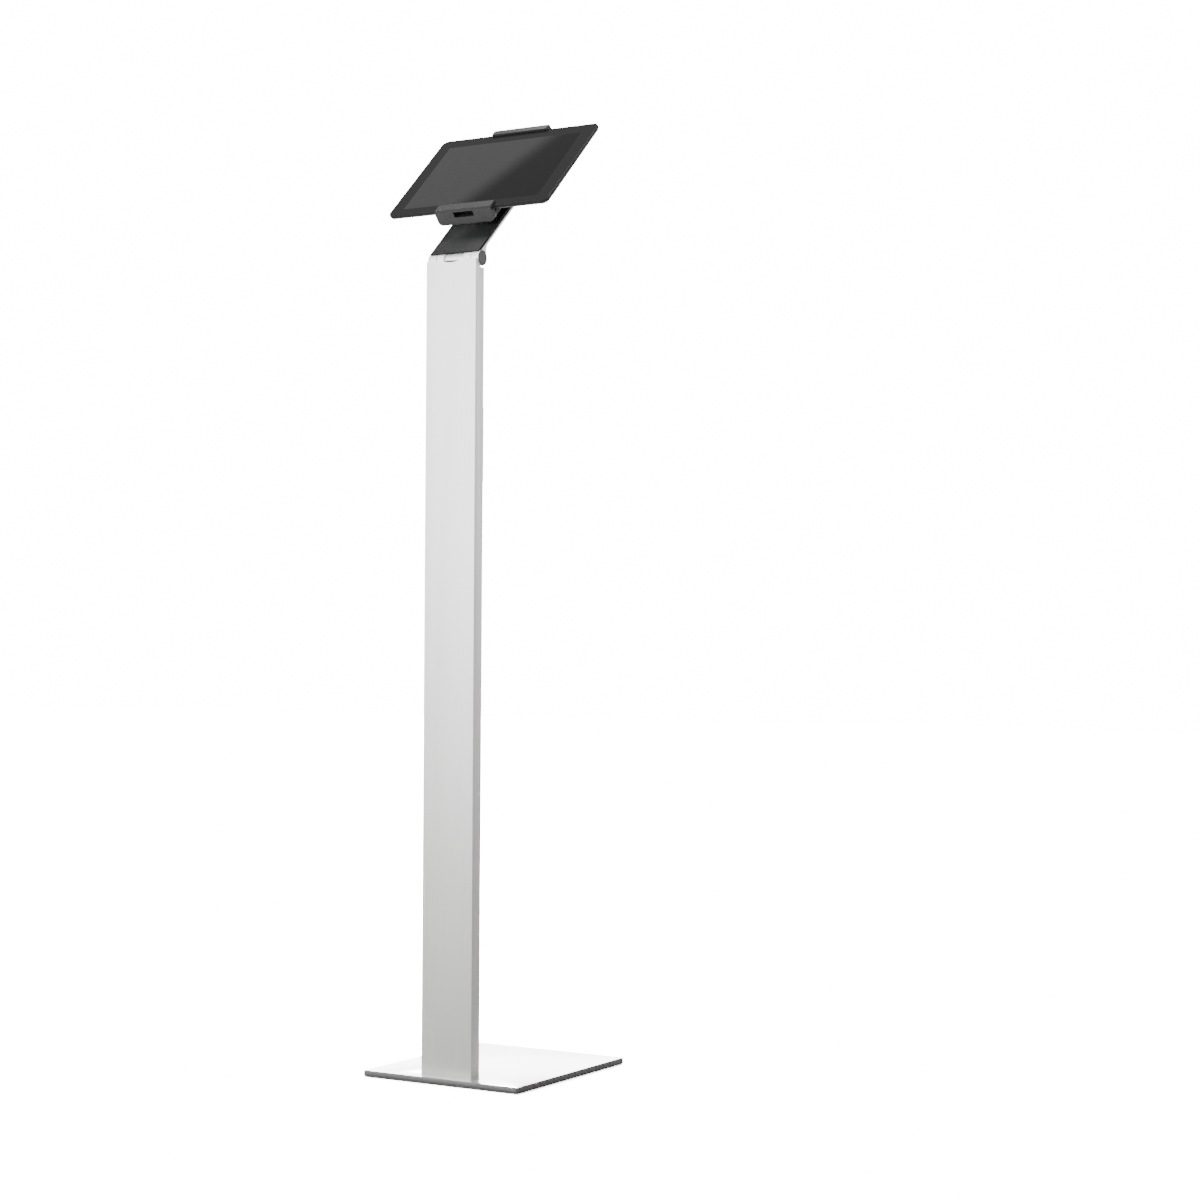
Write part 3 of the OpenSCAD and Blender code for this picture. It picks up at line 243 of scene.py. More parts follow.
FLOOR_SIZE = 30.0
FLOOR_TONE = 0.25
FLOOR_TONE_IN_VIEW = 6.0
FLOOR_TONE_FAR = 24.0
FLOOR_NEAR = 1.2
FLOOR_FAR = 5.0

# the backdrop: what the camera sees of it, and the light that it gives, which is strong low down
# and weaker higher up and towards +X; the last four values are parts of a direction
BACKDROP_LIGHT = 16.0
SWEEP_LIGHT = 9.0
ROOM_LIGHT = 1.0
DIM_SIDE = 0.35
SWEEP_TOP = 0.18
ROOM_FROM = 0.36
DIM_FROM = -0.1
DIM_TO = 0.45

LIGHTS_AIM = (0, 0, 0.6)
# each light's place, size and watts
LIGHTS = {
    "key": ((-0.1, -0.2, 3.3), 1.0, 160),
    "fill": ((-0.8, -2.6, 1.0), 1.8, 130),
    "side": ((2.4, -1.0, 0.6), 1.6, 35),
    "back": ((-1.7, 1.9, 1.8), 1.5, 260),
}


def for_camera(tree, in_view, elsewhere):
    """One value for what the camera sees directly, another for the light that it gives."""
    path = tree.nodes.new("ShaderNodeLightPath")
    choice = tree.nodes.new("ShaderNodeMix")
    feed(tree, elsewhere, choice.inputs["A"])
    feed(tree, in_view, choice.inputs["B"])
    tree.links.new(path.outputs["Is Camera Ray"], choice.inputs["Factor"])
    return choice.outputs["Result"]


def make_floor():
    bpy.ops.mesh.primitive_plane_add(size=FLOOR_SIZE, location=(0, 0, 0))
    floor = bpy.context.object
    floor.name = "floor"
    material, tree, shader = node_tree("pale_floor")
    place = tree.nodes.new("ShaderNodeTexCoord")
    distance = tree.nodes.new("ShaderNodeVectorMath")
    distance.operation = "LENGTH"
    tree.links.new(place.outputs["Object"], distance.inputs[0])
    in_view = between(tree, distance.outputs["Value"], FLOOR_NEAR, FLOOR_FAR,
                      FLOOR_TONE_IN_VIEW, FLOOR_TONE_FAR)
    tree.links.new(for_camera(tree, in_view, FLOOR_TONE), shader.inputs["Base Color"])
    shader.inputs["Roughness"].default_value = 1.0
    shader.inputs["Specular IOR Level"].default_value = 0.0
    floor.data.materials.append(material)


def area_light(name, place, size, watts):
    data = bpy.data.lights.new(name, "AREA")
    data.energy = watts
    data.size = size
    light = bpy.data.objects.new(name, data)
    light.location = place
    light.rotation_euler = (Vector(LIGHTS_AIM) - Vector(place)).to_track_quat("-Z", "Y").to_euler()
    bpy.context.scene.collection.objects.link(light)


def make_studio():
    make_floor()
    world = bpy.data.worlds.new("studio")
    world.use_nodes = True
    tree = world.node_tree
    direction = tree.nodes.new("ShaderNodeTexCoord")
    sideways, _, height = along_axes(tree, direction.outputs["Generated"])
    room = between(tree, height, SWEEP_TOP, ROOM_FROM, SWEEP_LIGHT, ROOM_LIGHT)
    side = between(tree, sideways, DIM_FROM, DIM_TO, 1.0, DIM_SIDE)
    room = maths(tree, "MULTIPLY", room, side)
    strength = for_camera(tree, BACKDROP_LIGHT, room)
    tree.links.new(strength, tree.nodes["Background"].inputs["Strength"])
    tree.nodes["Background"].inputs["Color"].default_value = (1, 1, 1, 1)
    bpy.context.scene.world = world
    for name, (place, size, watts) in LIGHTS.items():
        area_light(name, place, size, watts)


make_studio()


# materials: every pattern reads Object coordinates, in metres

def moulded_plastic(name, colour, rough, shine=0.15):
    """Fine spark-eroded grain, a slow change of tone and a soft sheen."""
    material, tree, shader = node_tree(name)
    shader.inputs["Specular IOR Level"].default_value = shine
    fine = noise(tree, placed(tree), 1400.0, detail=2.0)
    slow = noise(tree, placed(tree), 9.0)
    tone = varied(tree, slow, colour, 0.92, 1.08)
    surfaced(tree, shader, tone, fine, (rough - 0.08, rough + 0.08), relief=0.25, depth=0.12 * MM)
    return material


# the middle tone of the painted shade that darkens the column towards its foot
SHADE_MIDDLE_TONE = 0.7


def painted_shade_down(tree, shaded_foot_tone):
    """Painted shade: white at the column's head, through a light grey, down to a darker grey at its foot."""
    _, _, height = along_axes(tree, placed(tree))
    share = between(tree, height, 0, HINGE.z, 0, 1, smooth=False)
    return ramp(tree, share, [(0, (shaded_foot_tone,) * 3), (0.5, (SHADE_MIDDLE_TONE,) * 3), (1, WHITE)])


def brushed_metal(name, colour, rough, stretch, metallic, shaded_foot_tone=None):
    """Long fine lines along one direction, in tone, gloss and height, with painted shade darker at the foot if
    asked.
    """
    material, tree, shader = node_tree(name)
    shader.inputs["Metallic"].default_value = metallic
    shader.inputs["Specular IOR Level"].default_value = 0.3
    lines = noise(tree, placed(tree, stretch), 1.0, roughness=0.6)
    slow = noise(tree, placed(tree), 5.0, detail=2.0)
    tone = multiplied(tree, varied(tree, lines, colour, 0.95, 1.04), varied(tree, slow, WHITE, 0.97, 1))
    # painted shade: the tone darkens towards the foot
    if shaded_foot_tone:
        tone = multiplied(tree, tone, painted_shade_down(tree, shaded_foot_tone))
    surfaced(tree, shader, tone, lines, (rough - 0.05, rough + 0.07), relief=0.12, depth=0.05 * MM)
    return material


def turned_metal(name, colour, rough):
    """Machined or plated steel with small tool marks."""
    material, tree, shader = node_tree(name)
    shader.inputs["Metallic"].default_value = 1.0
    marks = noise(tree, placed(tree), 2600.0, detail=2.0)
    tone = varied(tree, marks, colour, 0.85, 1.1, stops=(0.25, 0.75))
    surfaced(tree, shader, tone, marks, (rough - 0.06, rough + 0.1), relief=0.15, depth=0.04 * MM)
    return material


def sheet_steel(name, colour, rough):
    """Fine-ground steel sheet under a clear coat: it mirrors what stands on it."""
    material, tree, shader = node_tree(name)
    shader.inputs["Metallic"].default_value = 1.0
    shader.inputs["Coat Weight"].default_value = 0.6
    shader.inputs["Coat Roughness"].default_value = 0.05
    grain = noise(tree, placed(tree, (60, 1500, 60)), 1.0, roughness=0.6)
    slow = noise(tree, placed(tree), 4.0, detail=2.0)
    tone = multiplied(tree, varied(tree, grain, colour, 0.97, 1.02), varied(tree, slow, WHITE, 0.98, 1))
    surfaced(tree, shader, tone, grain, (rough - 0.03, rough + 0.05), relief=0.05, depth=0.03 * MM)
    return material


def soft_rubber(name, colour):
    """A matt skin with a fine grain and slow patches."""
    material, tree, shader = node_tree(name)
    fine = noise(tree, placed(tree), 1900.0, roughness=0.6)
    slow = noise(tree, placed(tree), 30.0, detail=2.0)
    tone = varied(tree, slow, colour, 0.8, 1.25)
    surfaced(tree, shader, tone, fine, (0.7, 0.92), relief=0.3, depth=0.1 * MM)
    return material


def head_place(tree):
    """Places across and along the head."""
    turn = (-(math.pi / 2 - TILT), 0, 0)
    shift = Matrix.Rotation(turn[0], 3, "X") @ -HINGE
    across, along, _ = along_axes(tree, placed(tree, turn=turn, shift=shift))
    return across, along


SCREEN_MARGIN_X = 19 * MM
SCREEN_MARGIN_U = 17 * MM
SCREEN_EDGE = 0.4 * MM
# the bezel's tone, the painted reflection's tone and the screen's own dark tone
BEZEL_TONE = (0.006, 0.006, 0.0061)
SCREEN_PAINTED_REFLECTION = (0.0138, 0.0138, 0.014)
SCREEN_DARK = (0.0034, 0.0034, 0.0034)
# the screen's painted reflection, its lighter side, ends at across + slope * along = edge
REFLECTION_SLOPE = -0.463
REFLECTION_EDGE = -0.045
REFLECTION_SOFT = 0.05


def inside_span(tree, value, start, end):
    """1 from start to end and 0 elsewhere."""
    after_start = step(tree, value, start, SCREEN_EDGE)
    before_end = maths(tree, "SUBTRACT", 1.0, step(tree, value, end, SCREEN_EDGE))
    return maths(tree, "MULTIPLY", after_start, before_end)


def screen_glass(name):
    """Black-bordered glass over a grey screen, with a painted reflection that makes it lighter on one side of a
    soft diagonal.
    """
    material, tree, shader = node_tree(name)
    low, high = head_box("tablet_glass")
    across, along = head_place(tree)
    inside = maths(tree, "MULTIPLY",
                   inside_span(tree, across, low.x + SCREEN_MARGIN_X, high.x - SCREEN_MARGIN_X),
                   inside_span(tree, along, low.y + SCREEN_MARGIN_U, high.y - SCREEN_MARGIN_U))
    # painted reflection: the screen is lighter on one side of a soft diagonal, with faint wisps in it
    slanted = maths(tree, "ADD", across, maths(tree, "MULTIPLY", along, REFLECTION_SLOPE))
    sheen = step(tree, slanted, REFLECTION_EDGE, REFLECTION_SOFT)
    wisp = noise(tree, placed(tree), 6.0, detail=2.0)
    light = blend_colours(tree, wisp, shade(SCREEN_PAINTED_REFLECTION, 0.97), shade(SCREEN_PAINTED_REFLECTION, 1.04))
    screen = blend_colours(tree, sheen, light, SCREEN_DARK)
    tree.links.new(blend_colours(tree, inside, BEZEL_TONE, screen), shader.inputs["Base Color"])
    smear = noise(tree, placed(tree), 60.0, detail=4.0)
    tree.links.new(spread(tree, smear, 0.07, 0.12), shader.inputs["Roughness"])
    shader.inputs["Specular IOR Level"].default_value = 0.03
    return material


FINISHES = {
    "plate_steel": sheet_steel("plate_steel", (0.93, 0.93, 0.925), rough=0.16),
    "plate_edge": turned_metal("plate_edge", (0.065, 0.065, 0.066), rough=0.4),
    "black_rubber": soft_rubber("black_rubber", (0.02, 0.02, 0.02)),
    "zinc_steel": turned_metal("zinc_steel", (0.55, 0.55, 0.56), rough=0.32),
    # the column's silver carries painted shade, darker towards its foot
    "silver_column": brushed_metal("silver_column", (0.59, 0.584, 0.573), rough=0.46,
                                   stretch=(900, 900, 9), metallic=0.35, shaded_foot_tone=0.42),
    # the arm's and the swivel cap's silver: the column's kind of metal made darker as painted shade
    "shaded_silver_arm": brushed_metal("shaded_silver_arm", (0.19, 0.189, 0.186), rough=0.46,
                                stretch=(9, 900, 900), metallic=0.35),
    "shaded_silver_cap": brushed_metal("shaded_silver_cap", (0.235, 0.234, 0.231), rough=0.46,
                                stretch=(9, 900, 900), metallic=0.35),
    "dark_steel": turned_metal("dark_steel", (0.12, 0.12, 0.125), rough=0.35),
    "bearing_bronze": turned_metal("bearing_bronze", (0.50, 0.36, 0.20), rough=0.35),
    # the lower jaw's lip: the jaw's slate plastic made darker as painted shade, where the lights fall more
    # strongly
    "lip_painted_shade": moulded_plastic("lip_painted_shade", (0.017, 0.017, 0.0174), rough=0.6, shine=0.05),
    "grey_plastic": moulded_plastic("grey_plastic", (0.012, 0.012, 0.0124), rough=0.55),
    "slate_plastic": moulded_plastic("slate_plastic", (0.033, 0.033, 0.0336), rough=0.55, shine=0.06),
    "cap_plastic": moulded_plastic("cap_plastic", (0.045, 0.045, 0.0456), rough=0.5),
    "cover_plastic": moulded_plastic("cover_plastic", (0.0075, 0.0075, 0.0077), rough=0.55, shine=0.06),
    "black_plastic": moulded_plastic("black_plastic", (0.004, 0.004, 0.0042), rough=0.5),
    "pale_plastic": moulded_plastic("pale_plastic", (0.6, 0.57, 0.48), rough=0.45),
    "tablet_metal": brushed_metal("tablet_metal", (0.075, 0.076, 0.077), rough=0.45,
                                  stretch=(700, 700, 700), metallic=0.3),
    "tablet_edge": moulded_plastic("tablet_edge", (0.012, 0.012, 0.0125), rough=0.55, shine=0.08),
    "camera_glass": moulded_plastic("camera_glass", (0.01, 0.01, 0.012), rough=0.12),
    "green_board": moulded_plastic("green_board", (0.01, 0.06, 0.025), rough=0.45),
    "screen_glass": screen_glass("screen_glass"),
}

NODE_FINISH = {
    "base_plate": "plate_steel", "base_mat": "black_rubber", "base_screws": "zinc_steel",
    "foot_blocks": "zinc_steel", "column": "silver_column", "column_lock_screw": "zinc_steel",
    "hinge_ears": "silver_column", "hinge_axle": "zinc_steel", "axle_tube": "silver_column",
    "friction_washers": "bearing_bronze", "disc_springs": "zinc_steel", "axle_nuts": "zinc_steel",
    "hinge_bushes": "bearing_bronze", "hinge_end_caps": "cap_plastic", "arm_plate": "shaded_silver_arm",
    "arm_front_cover": "cover_plastic", "swivel_hub": "black_plastic", "hub_screws": "zinc_steel",
    "friction_disc": "bearing_bronze", "swivel_cap": "shaded_silver_cap", "swivel_plate": "dark_steel",
    "swivel_plate_screws": "zinc_steel", "swivel_bolt": "zinc_steel", "spring_washer": "zinc_steel",
    "swivel_nut": "zinc_steel", "clamp_back": "slate_plastic", "clamp_front": "grey_plastic",
    "clamp_screws": "dark_steel", "clamp_pads": "black_rubber", "lock_rack": "zinc_steel",
    "pinion": "pale_plastic", "pinion_pin": "zinc_steel", "upper_slide": "slate_plastic",
    "upper_jaw": "grey_plastic", "upper_jaw_screws": "dark_steel", "upper_jaw_pad": "black_rubber",
    "lower_slide": "slate_plastic", "lower_jaw": "slate_plastic", "lower_jaw_screws": "dark_steel",
    "lower_jaw_pads": "black_rubber", "lock_barrel": "black_plastic", "lock_bar": "zinc_steel",
    "tablet_back": "tablet_metal", "tablet_glass": "screen_glass", "tablet_display": "black_plastic",
    "tablet_battery": "black_plastic", "tablet_board": "green_board", "tablet_camera": "camera_glass",
    "power_button": "tablet_metal", "volume_button": "tablet_metal",
    "cable_box_carrier": "black_plastic", "cable_box_screw": "zinc_steel",
    "cable_box_slot_nut": "zinc_steel", "cable_box_cover": "slate_plastic",
}


def finish_nodes():
    for name, node in nodes.items():
        node.data.materials.clear()
        node.data.materials.append(FINISHES[NODE_FINISH[name]])


finish_nodes()


# pieces

# WELD joins a mesh's doubled corners; faces within FLAT_ANGLE are one, edges over SHARP_ANGLE are
# eased, and edges under SMOOTH_ANGLE are shaded smooth
WELD = 2e-6
FLAT_ANGLE = math.radians(0.6)
SHARP_ANGLE = math.radians(28)
SMOOTH_ANGLE = math.radians(32)
EASE_SEGMENTS = 3
CORNER_STEPS = 12
TURNED_SIDES = 64
LEAST_RADIUS = 0.4 * MM


def settle(piece, node, *more):
    """A finished piece takes a CAD node's place and body: the node is hidden."""
    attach(piece, body_of_node[node])
    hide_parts(node, *more)
    return piece


def mesh_object(name, bm, finish):
    mesh = bpy.data.meshes.new(name)
    bm.to_mesh(mesh)
    bm.free()
    piece = bpy.data.objects.new(name, mesh)
    bpy.context.scene.collection.objects.link(piece)
    mesh.materials.append(FINISHES[finish])
    return piece


def soften(bm, limit=SMOOTH_ANGLE):
    """Smooth faces everywhere but over sharp corners."""
    for face in bm.faces:
        face.smooth = True
    for edge in bm.edges:
        edge.smooth = len(edge.link_faces) == 2 and edge.calc_face_angle(math.pi) < limit


def refinish(piece, finish, chosen):
    """Another finish for the chosen ones of a piece's faces."""
    piece.data.materials.append(FINISHES[finish])
    for face in piece.data.polygons:
        if chosen(face):
            face.material_index = len(piece.data.materials) - 1


def eased(node, width):
    """A copy of a CAD node with its sharp edges rounded over, in the node's place."""
    bm = bmesh.new()
    bm.from_mesh(nodes[node].data)
    bmesh.ops.remove_doubles(bm, verts=bm.verts, dist=WELD)
    bmesh.ops.dissolve_limit(bm, angle_limit=FLAT_ANGLE, verts=bm.verts, edges=bm.edges)
    sharp = [edge for edge in bm.edges
             if len(edge.link_faces) == 2 and edge.calc_face_angle(0) > SHARP_ANGLE]
    bmesh.ops.bevel(bm, geom=sharp, offset=width, segments=EASE_SEGMENTS, affect="EDGES", profile=0.5,
                    clamp_overlap=True)
    bmesh.ops.recalc_face_normals(bm, faces=bm.faces)
    soften(bm)
    return settle(mesh_object(node + "_eased", bm, NODE_FINISH[node]), node)


def ring_points(half_w, half_h, radius):
    """A rounded rectangle as (x, y) points, anticlockwise."""
    points = []
    for corner in range(4):
        sx = 1 if corner in (0, 3) else -1
        sy = 1 if corner in (0, 1) else -1
        centre = (sx * (half_w - radius), sy * (half_h - radius))
        for i in range(CORNER_STEPS + 1):
            angle = math.radians(90 * corner + 90 * i / CORNER_STEPS)
            points.append((centre[0] + radius * math.cos(angle), centre[1] + radius * math.sin(angle)))
    return points


def loft(half_w, half_h, radius, profile, place):
    """A closed skin through rounded rectangles: profile is (inset, height) pairs, flat at both ends."""
    bm = bmesh.new()
    rings = []
    for inset, height in profile:
        points = ring_points(half_w - inset, half_h - inset, max(radius - inset, LEAST_RADIUS))
        rings.append([bm.verts.new(place @ Vector((x, y, height))) for x, y in points])
    count = len(rings[0])
    for low, high in zip(rings, rings[1:]):
        for i in range(count):
            bm.faces.new((low[i], low[(i + 1) % count], high[(i + 1) % count], high[i]))
    bm.faces.new(list(reversed(rings[0])))
    bm.faces.new(rings[-1])
    bmesh.ops.recalc_face_normals(bm, faces=bm.faces)
    return bm


def lathe(profile, place):
    """A closed turned shape: profile is (radius, height) pairs from the axis out and back to it."""
    bm = bmesh.new()
    rows = []
    for radius, height in profile:
        row = []
        for i in range(TURNED_SIDES if radius else 1):
            angle = 2 * math.pi * i / TURNED_SIDES
            point = Vector((radius * math.cos(angle), radius * math.sin(angle), height))
            row.append(bm.verts.new(place @ point))
        rows.append(row)
    for low, high in zip(rows, rows[1:]):
        for i in range(TURNED_SIDES):
            j = (i + 1) % TURNED_SIDES
            corners = [low[i % len(low)], low[j % len(low)], high[j % len(high)], high[i % len(high)]]
            bm.faces.new(list(dict.fromkeys(corners)))
    bmesh.ops.recalc_face_normals(bm, faces=bm.faces)
    return bm


def plain_mesh(piece):
    """The mesh that a piece's modifiers make, with the modifiers taken off."""
    bpy.context.view_layer.update()
    mesh = bpy.data.meshes.new_from_object(piece.evaluated_get(bpy.context.evaluated_depsgraph_get()))
    piece.modifiers.clear()
    return mesh


def cut(piece, cutter_bm):
    """Cuts a shape out of a piece that has one finish."""
    mesh = bpy.data.meshes.new("cutter")
    cutter_bm.to_mesh(mesh)
    cutter_bm.free()
    cutter = bpy.data.objects.new("cutter", mesh)
    bpy.context.scene.collection.objects.link(cutter)
    modifier = piece.modifiers.new("cut", "BOOLEAN")
    modifier.operation = "DIFFERENCE"
    modifier.solver = "EXACT"
    modifier.object = cutter
    finish = piece.data.materials[0]
    piece.data = plain_mesh(piece)
    piece.data.materials.clear()
    piece.data.materials.append(finish)
    for face in piece.data.polygons:
        face.material_index = 0
    bpy.data.objects.remove(cutter)


# the tablet: a shell whose back curves up to its edges, and bordered glass

TABLET_CORNER = 9 * MM
TABLET_RIM = 3 * MM
TABLET_RIM_SLOPE = 0.6 * MM
TABLET_FLOOR = 1.2 * MM
# inset and height, in mm, of the back from its flat up to its side
BACK_CURVE = ((11, 0), (7.5, 0.04), (5.2, 0.25), (3.4, 0.75), (1.9, 1.55), (0.8, 2.7), (0.2, 4.0), (0, 5.2))
# inset and depth below the top, in mm
SHELL_ROUNDING = ((0, 0.3), (0.1, 0.08), (0.35, 0))
GLASS_ROUNDING = ((0, 0.35), (0.1, 0.1), (0.35, 0))
GLASS_INSET = 0.5 * MM
GLASS_SMOOTH_ANGLE = math.radians(12)
# a face belongs to the back or to the glass's front, by its normal's part along the head's outward axis
BACK_NORMAL = -0.35
FRONT_NORMAL = 0.98
PORT_HALF_W = 4.5 * MM
PORT_HALF_H = 1.5 * MM
PORT_RADIUS = 1.4 * MM
PORT_REACH = 6 * MM
PORT_OFF_MIDDLE = 0.4 * MM
# share of the lens's radius, and height in mm above its outer face
LENS_DISH = ((0, 0.5), (0.45, 0.45), (0.6, 0.2), (0.8, 0.02), (0.95, 0), (1, 0.15))


def head_block(node):
    """Half width, half length and depth of a CAD node along the head, and its underside's place."""
    low, high = head_box(node)
    place = HEAD @ Matrix.Translation(((low.x + high.x) / 2, (low.y + high.y) / 2, low.z))
    return (high.x - low.x) / 2, (high.y - low.y) / 2, high.z - low.z, place


def rounded_below(depth, rounding):
    """A profile's upper end: pairs of inset and depth below the top, in mm."""
    return [(inset * MM, depth - below * MM) for inset, below in rounding]


def make_tablet_shell():
    half_w, half_h, depth, place = head_block("tablet_back")
    curve = [(inset * MM, height * MM) for inset, height in BACK_CURVE]
    inner = [(TABLET_RIM, depth), (TABLET_RIM + TABLET_RIM_SLOPE, TABLET_FLOOR)]
    bm = loft(half_w, half_h, TABLET_CORNER, curve + rounded_below(depth, SHELL_ROUNDING) + inner, place)
    soften(bm)
    shell = mesh_object("tablet_shell", bm, "tablet_metal")
    quarter = math.pi / 2
    port_place = (place @ Matrix.Translation((half_w, 0, depth / 2 + PORT_OFF_MIDDLE))
                  @ Matrix.Rotation(quarter, 4, "Y") @ Matrix.Rotation(quarter, 4, "Z"))
    cut(shell, loft(PORT_HALF_W, PORT_HALF_H, PORT_RADIUS, [(0, -PORT_REACH), (0, PORT_REACH)], port_place))
    refinish(shell, "tablet_edge", lambda face: face.normal.dot(SWIVEL_AXIS) >= BACK_NORMAL)
    settle(shell, "tablet_back")


def make_tablet_glass():
    half_w, half_h, depth, place = head_block("tablet_glass")
    profile = [(0, 0)] + rounded_below(depth, GLASS_ROUNDING)
    bm = loft(half_w, half_h, TABLET_CORNER - GLASS_INSET, profile, place)
    soften(bm, GLASS_SMOOTH_ANGLE)
    front = mesh_object("tablet_front_glass", bm, "screen_glass")
    refinish(front, "tablet_edge", lambda face: abs(face.normal.dot(SWIVEL_AXIS)) <= FRONT_NORMAL)
    settle(front, "tablet_glass")


def make_tablet_lens():
    radius, _, depth, place = head_block("tablet_camera")
    dish = [(share * radius, height * MM) for share, height in LENS_DISH]
    bm = lathe(dish + [(radius, depth), (0, depth)], place)
    soften(bm)
    settle(mesh_object("tablet_camera_lens", bm, "camera_glass"), "tablet_camera")


make_tablet_shell()
make_tablet_glass()
make_tablet_lens()


# screws: one Geometry Nodes tree makes every set, at the places and sizes of the CAD's screws

SCREW_SIZES = ("Head Radius", "Head Height", "Head Foot Radius", "Shank Radius", "Length",
               "Key Radius", "Key Depth")
SCREW_SIDES = 32
KEY_SIDES = 6
KEY_RADIUS_SHARE = 0.52
KEY_DEPTH_SHARE = 0.6
SAME_HEIGHT = 0.02 * MM


def screw_tree():
    tree = bpy.data.node_groups.new("screws", "GeometryNodeTree")
    sockets = tree.interface
    sockets.new_socket("Places", in_out="INPUT", socket_type="NodeSocketGeometry")
    for name in SCREW_SIZES:
        sockets.new_socket(name, in_out="INPUT", socket_type="NodeSocketFloat")
    sockets.new_socket("Finish", in_out="INPUT", socket_type="NodeSocketMaterial")
    sockets.new_socket("Screws", in_out="OUTPUT", socket_type="NodeSocketGeometry")
    given = tree.nodes.new("NodeGroupInput").outputs
    link = tree.links.new

    def shaft(kind, sides, depth, drop, radii):
        """A cone or cylinder, moved down by its drop; the head's face is at height 0."""
        solid = tree.nodes.new("GeometryNodeMesh" + kind)
        solid.inputs["Vertices"].default_value = sides
        link(depth, solid.inputs["Depth"])
        for name, radius in radii.items():
            link(radius, solid.inputs[name])
        offset = tree.nodes.new("ShaderNodeCombineXYZ")
        link(maths(tree, "MULTIPLY", drop, -1.0), offset.inputs["Z"])
        moved = tree.nodes.new("GeometryNodeTransform")
        link(solid.outputs["Mesh"], moved.inputs["Geometry"])
        link(offset.outputs["Vector"], moved.inputs["Translation"])
        return moved.outputs["Geometry"]

    def combined(operation, *meshes):
        node = tree.nodes.new("GeometryNodeMeshBoolean")
        node.operation = operation
        node.solver = "EXACT"
        for socket, mesh in meshes:
            link(mesh, node.inputs[socket])
        return node.outputs["Mesh"]

    head_height, key_depth = given["Head Height"], given["Key Depth"]
    head = shaft("Cone", SCREW_SIDES, head_height, head_height,
                 {"Radius Bottom": given["Head Foot Radius"], "Radius Top": given["Head Radius"]})
    # the shank starts half-way up the head, so that the two overlap
    overlap = maths(tree, "MULTIPLY", head_height, 0.5)
    shank_length = maths(tree, "SUBTRACT", given["Length"], overlap)
    shank_middle = maths(tree, "ADD", overlap, maths(tree, "MULTIPLY", shank_length, 0.5))
    shank = shaft("Cylinder", SCREW_SIDES, shank_length, shank_middle, {"Radius": given["Shank Radius"]})
    # the key's recess reaches as far above the face as below it
    key = shaft("Cylinder", KEY_SIDES, maths(tree, "MULTIPLY", key_depth, 2.0), 0.0,
                {"Radius": given["Key Radius"]})
    whole = combined("UNION", ("Mesh 2", head), ("Mesh 2", shank))
    keyed = combined("DIFFERENCE", ("Mesh 1", whole), ("Mesh 2", key))
    direction = tree.nodes.new("GeometryNodeInputNamedAttribute")
    direction.data_type = "FLOAT_VECTOR"
    direction.inputs["Name"].default_value = "head_direction"
    turned = tree.nodes.new("FunctionNodeAlignRotationToVector")
    turned.axis = "Z"
    link(direction.outputs["Attribute"], turned.inputs["Vector"])
    placed_screws = tree.nodes.new("GeometryNodeInstanceOnPoints")
    link(given["Places"], placed_screws.inputs["Points"])
    link(keyed, placed_screws.inputs["Instance"])
    link(turned.outputs["Rotation"], placed_screws.inputs["Rotation"])
    real = tree.nodes.new("GeometryNodeRealizeInstances")
    link(placed_screws.outputs["Instances"], real.inputs["Geometry"])
    finished = tree.nodes.new("GeometryNodeSetMaterial")
    link(real.outputs["Geometry"], finished.inputs["Geometry"])
    link(given["Finish"], finished.inputs["Material"])
    link(finished.outputs["Geometry"], tree.nodes.new("NodeGroupOutput").inputs["Screws"])
    return tree


def separate_solids(node):
    """The corner points of each separate solid in a CAD node."""
    bm = bmesh.new()
    bm.from_mesh(nodes[node].data)
    bmesh.ops.remove_doubles(bm, verts=bm.verts, dist=WELD)
    left, solids = set(bm.verts), []
    while left:
        reached = [left.pop()]
        for vertex in reached:
            for edge in vertex.link_edges:
                other = edge.other_vert(vertex)
                if other in left:
                    left.remove(other)
                    reached.append(other)
        solids.append([vertex.co.copy() for vertex in reached])
    bm.free()
    return solids


def measured_screw(points, outward):
    """Where a screw's head is, and its sizes, from the CAD screw's corner points."""
    outward = outward.normalized()
    heights = [point.dot(outward) for point in points]
    top, bottom = max(heights), min(heights)
    face = [point for point, height in zip(points, heights) if height > top - SAME_HEIGHT]
    across = [point - outward * point.dot(outward) for point in face]
    axis = sum(across, Vector()) / len(across)
    reach = [(point - outward * point.dot(outward) - axis).length for point in points]
    below = max(height for height in heights if height < top - SAME_HEIGHT)
    sizes = {
        "Head Radius": max(r for r, h in zip(reach, heights) if h > top - SAME_HEIGHT),
        "Head Height": top - below,
        "Head Foot Radius": max(r for r, h in zip(reach, heights) if abs(h - below) < SAME_HEIGHT),
        "Shank Radius": max(r for r, h in zip(reach, heights) if h < bottom + SAME_HEIGHT),
        "Length": top - bottom,
    }
    return axis + outward * top, sizes


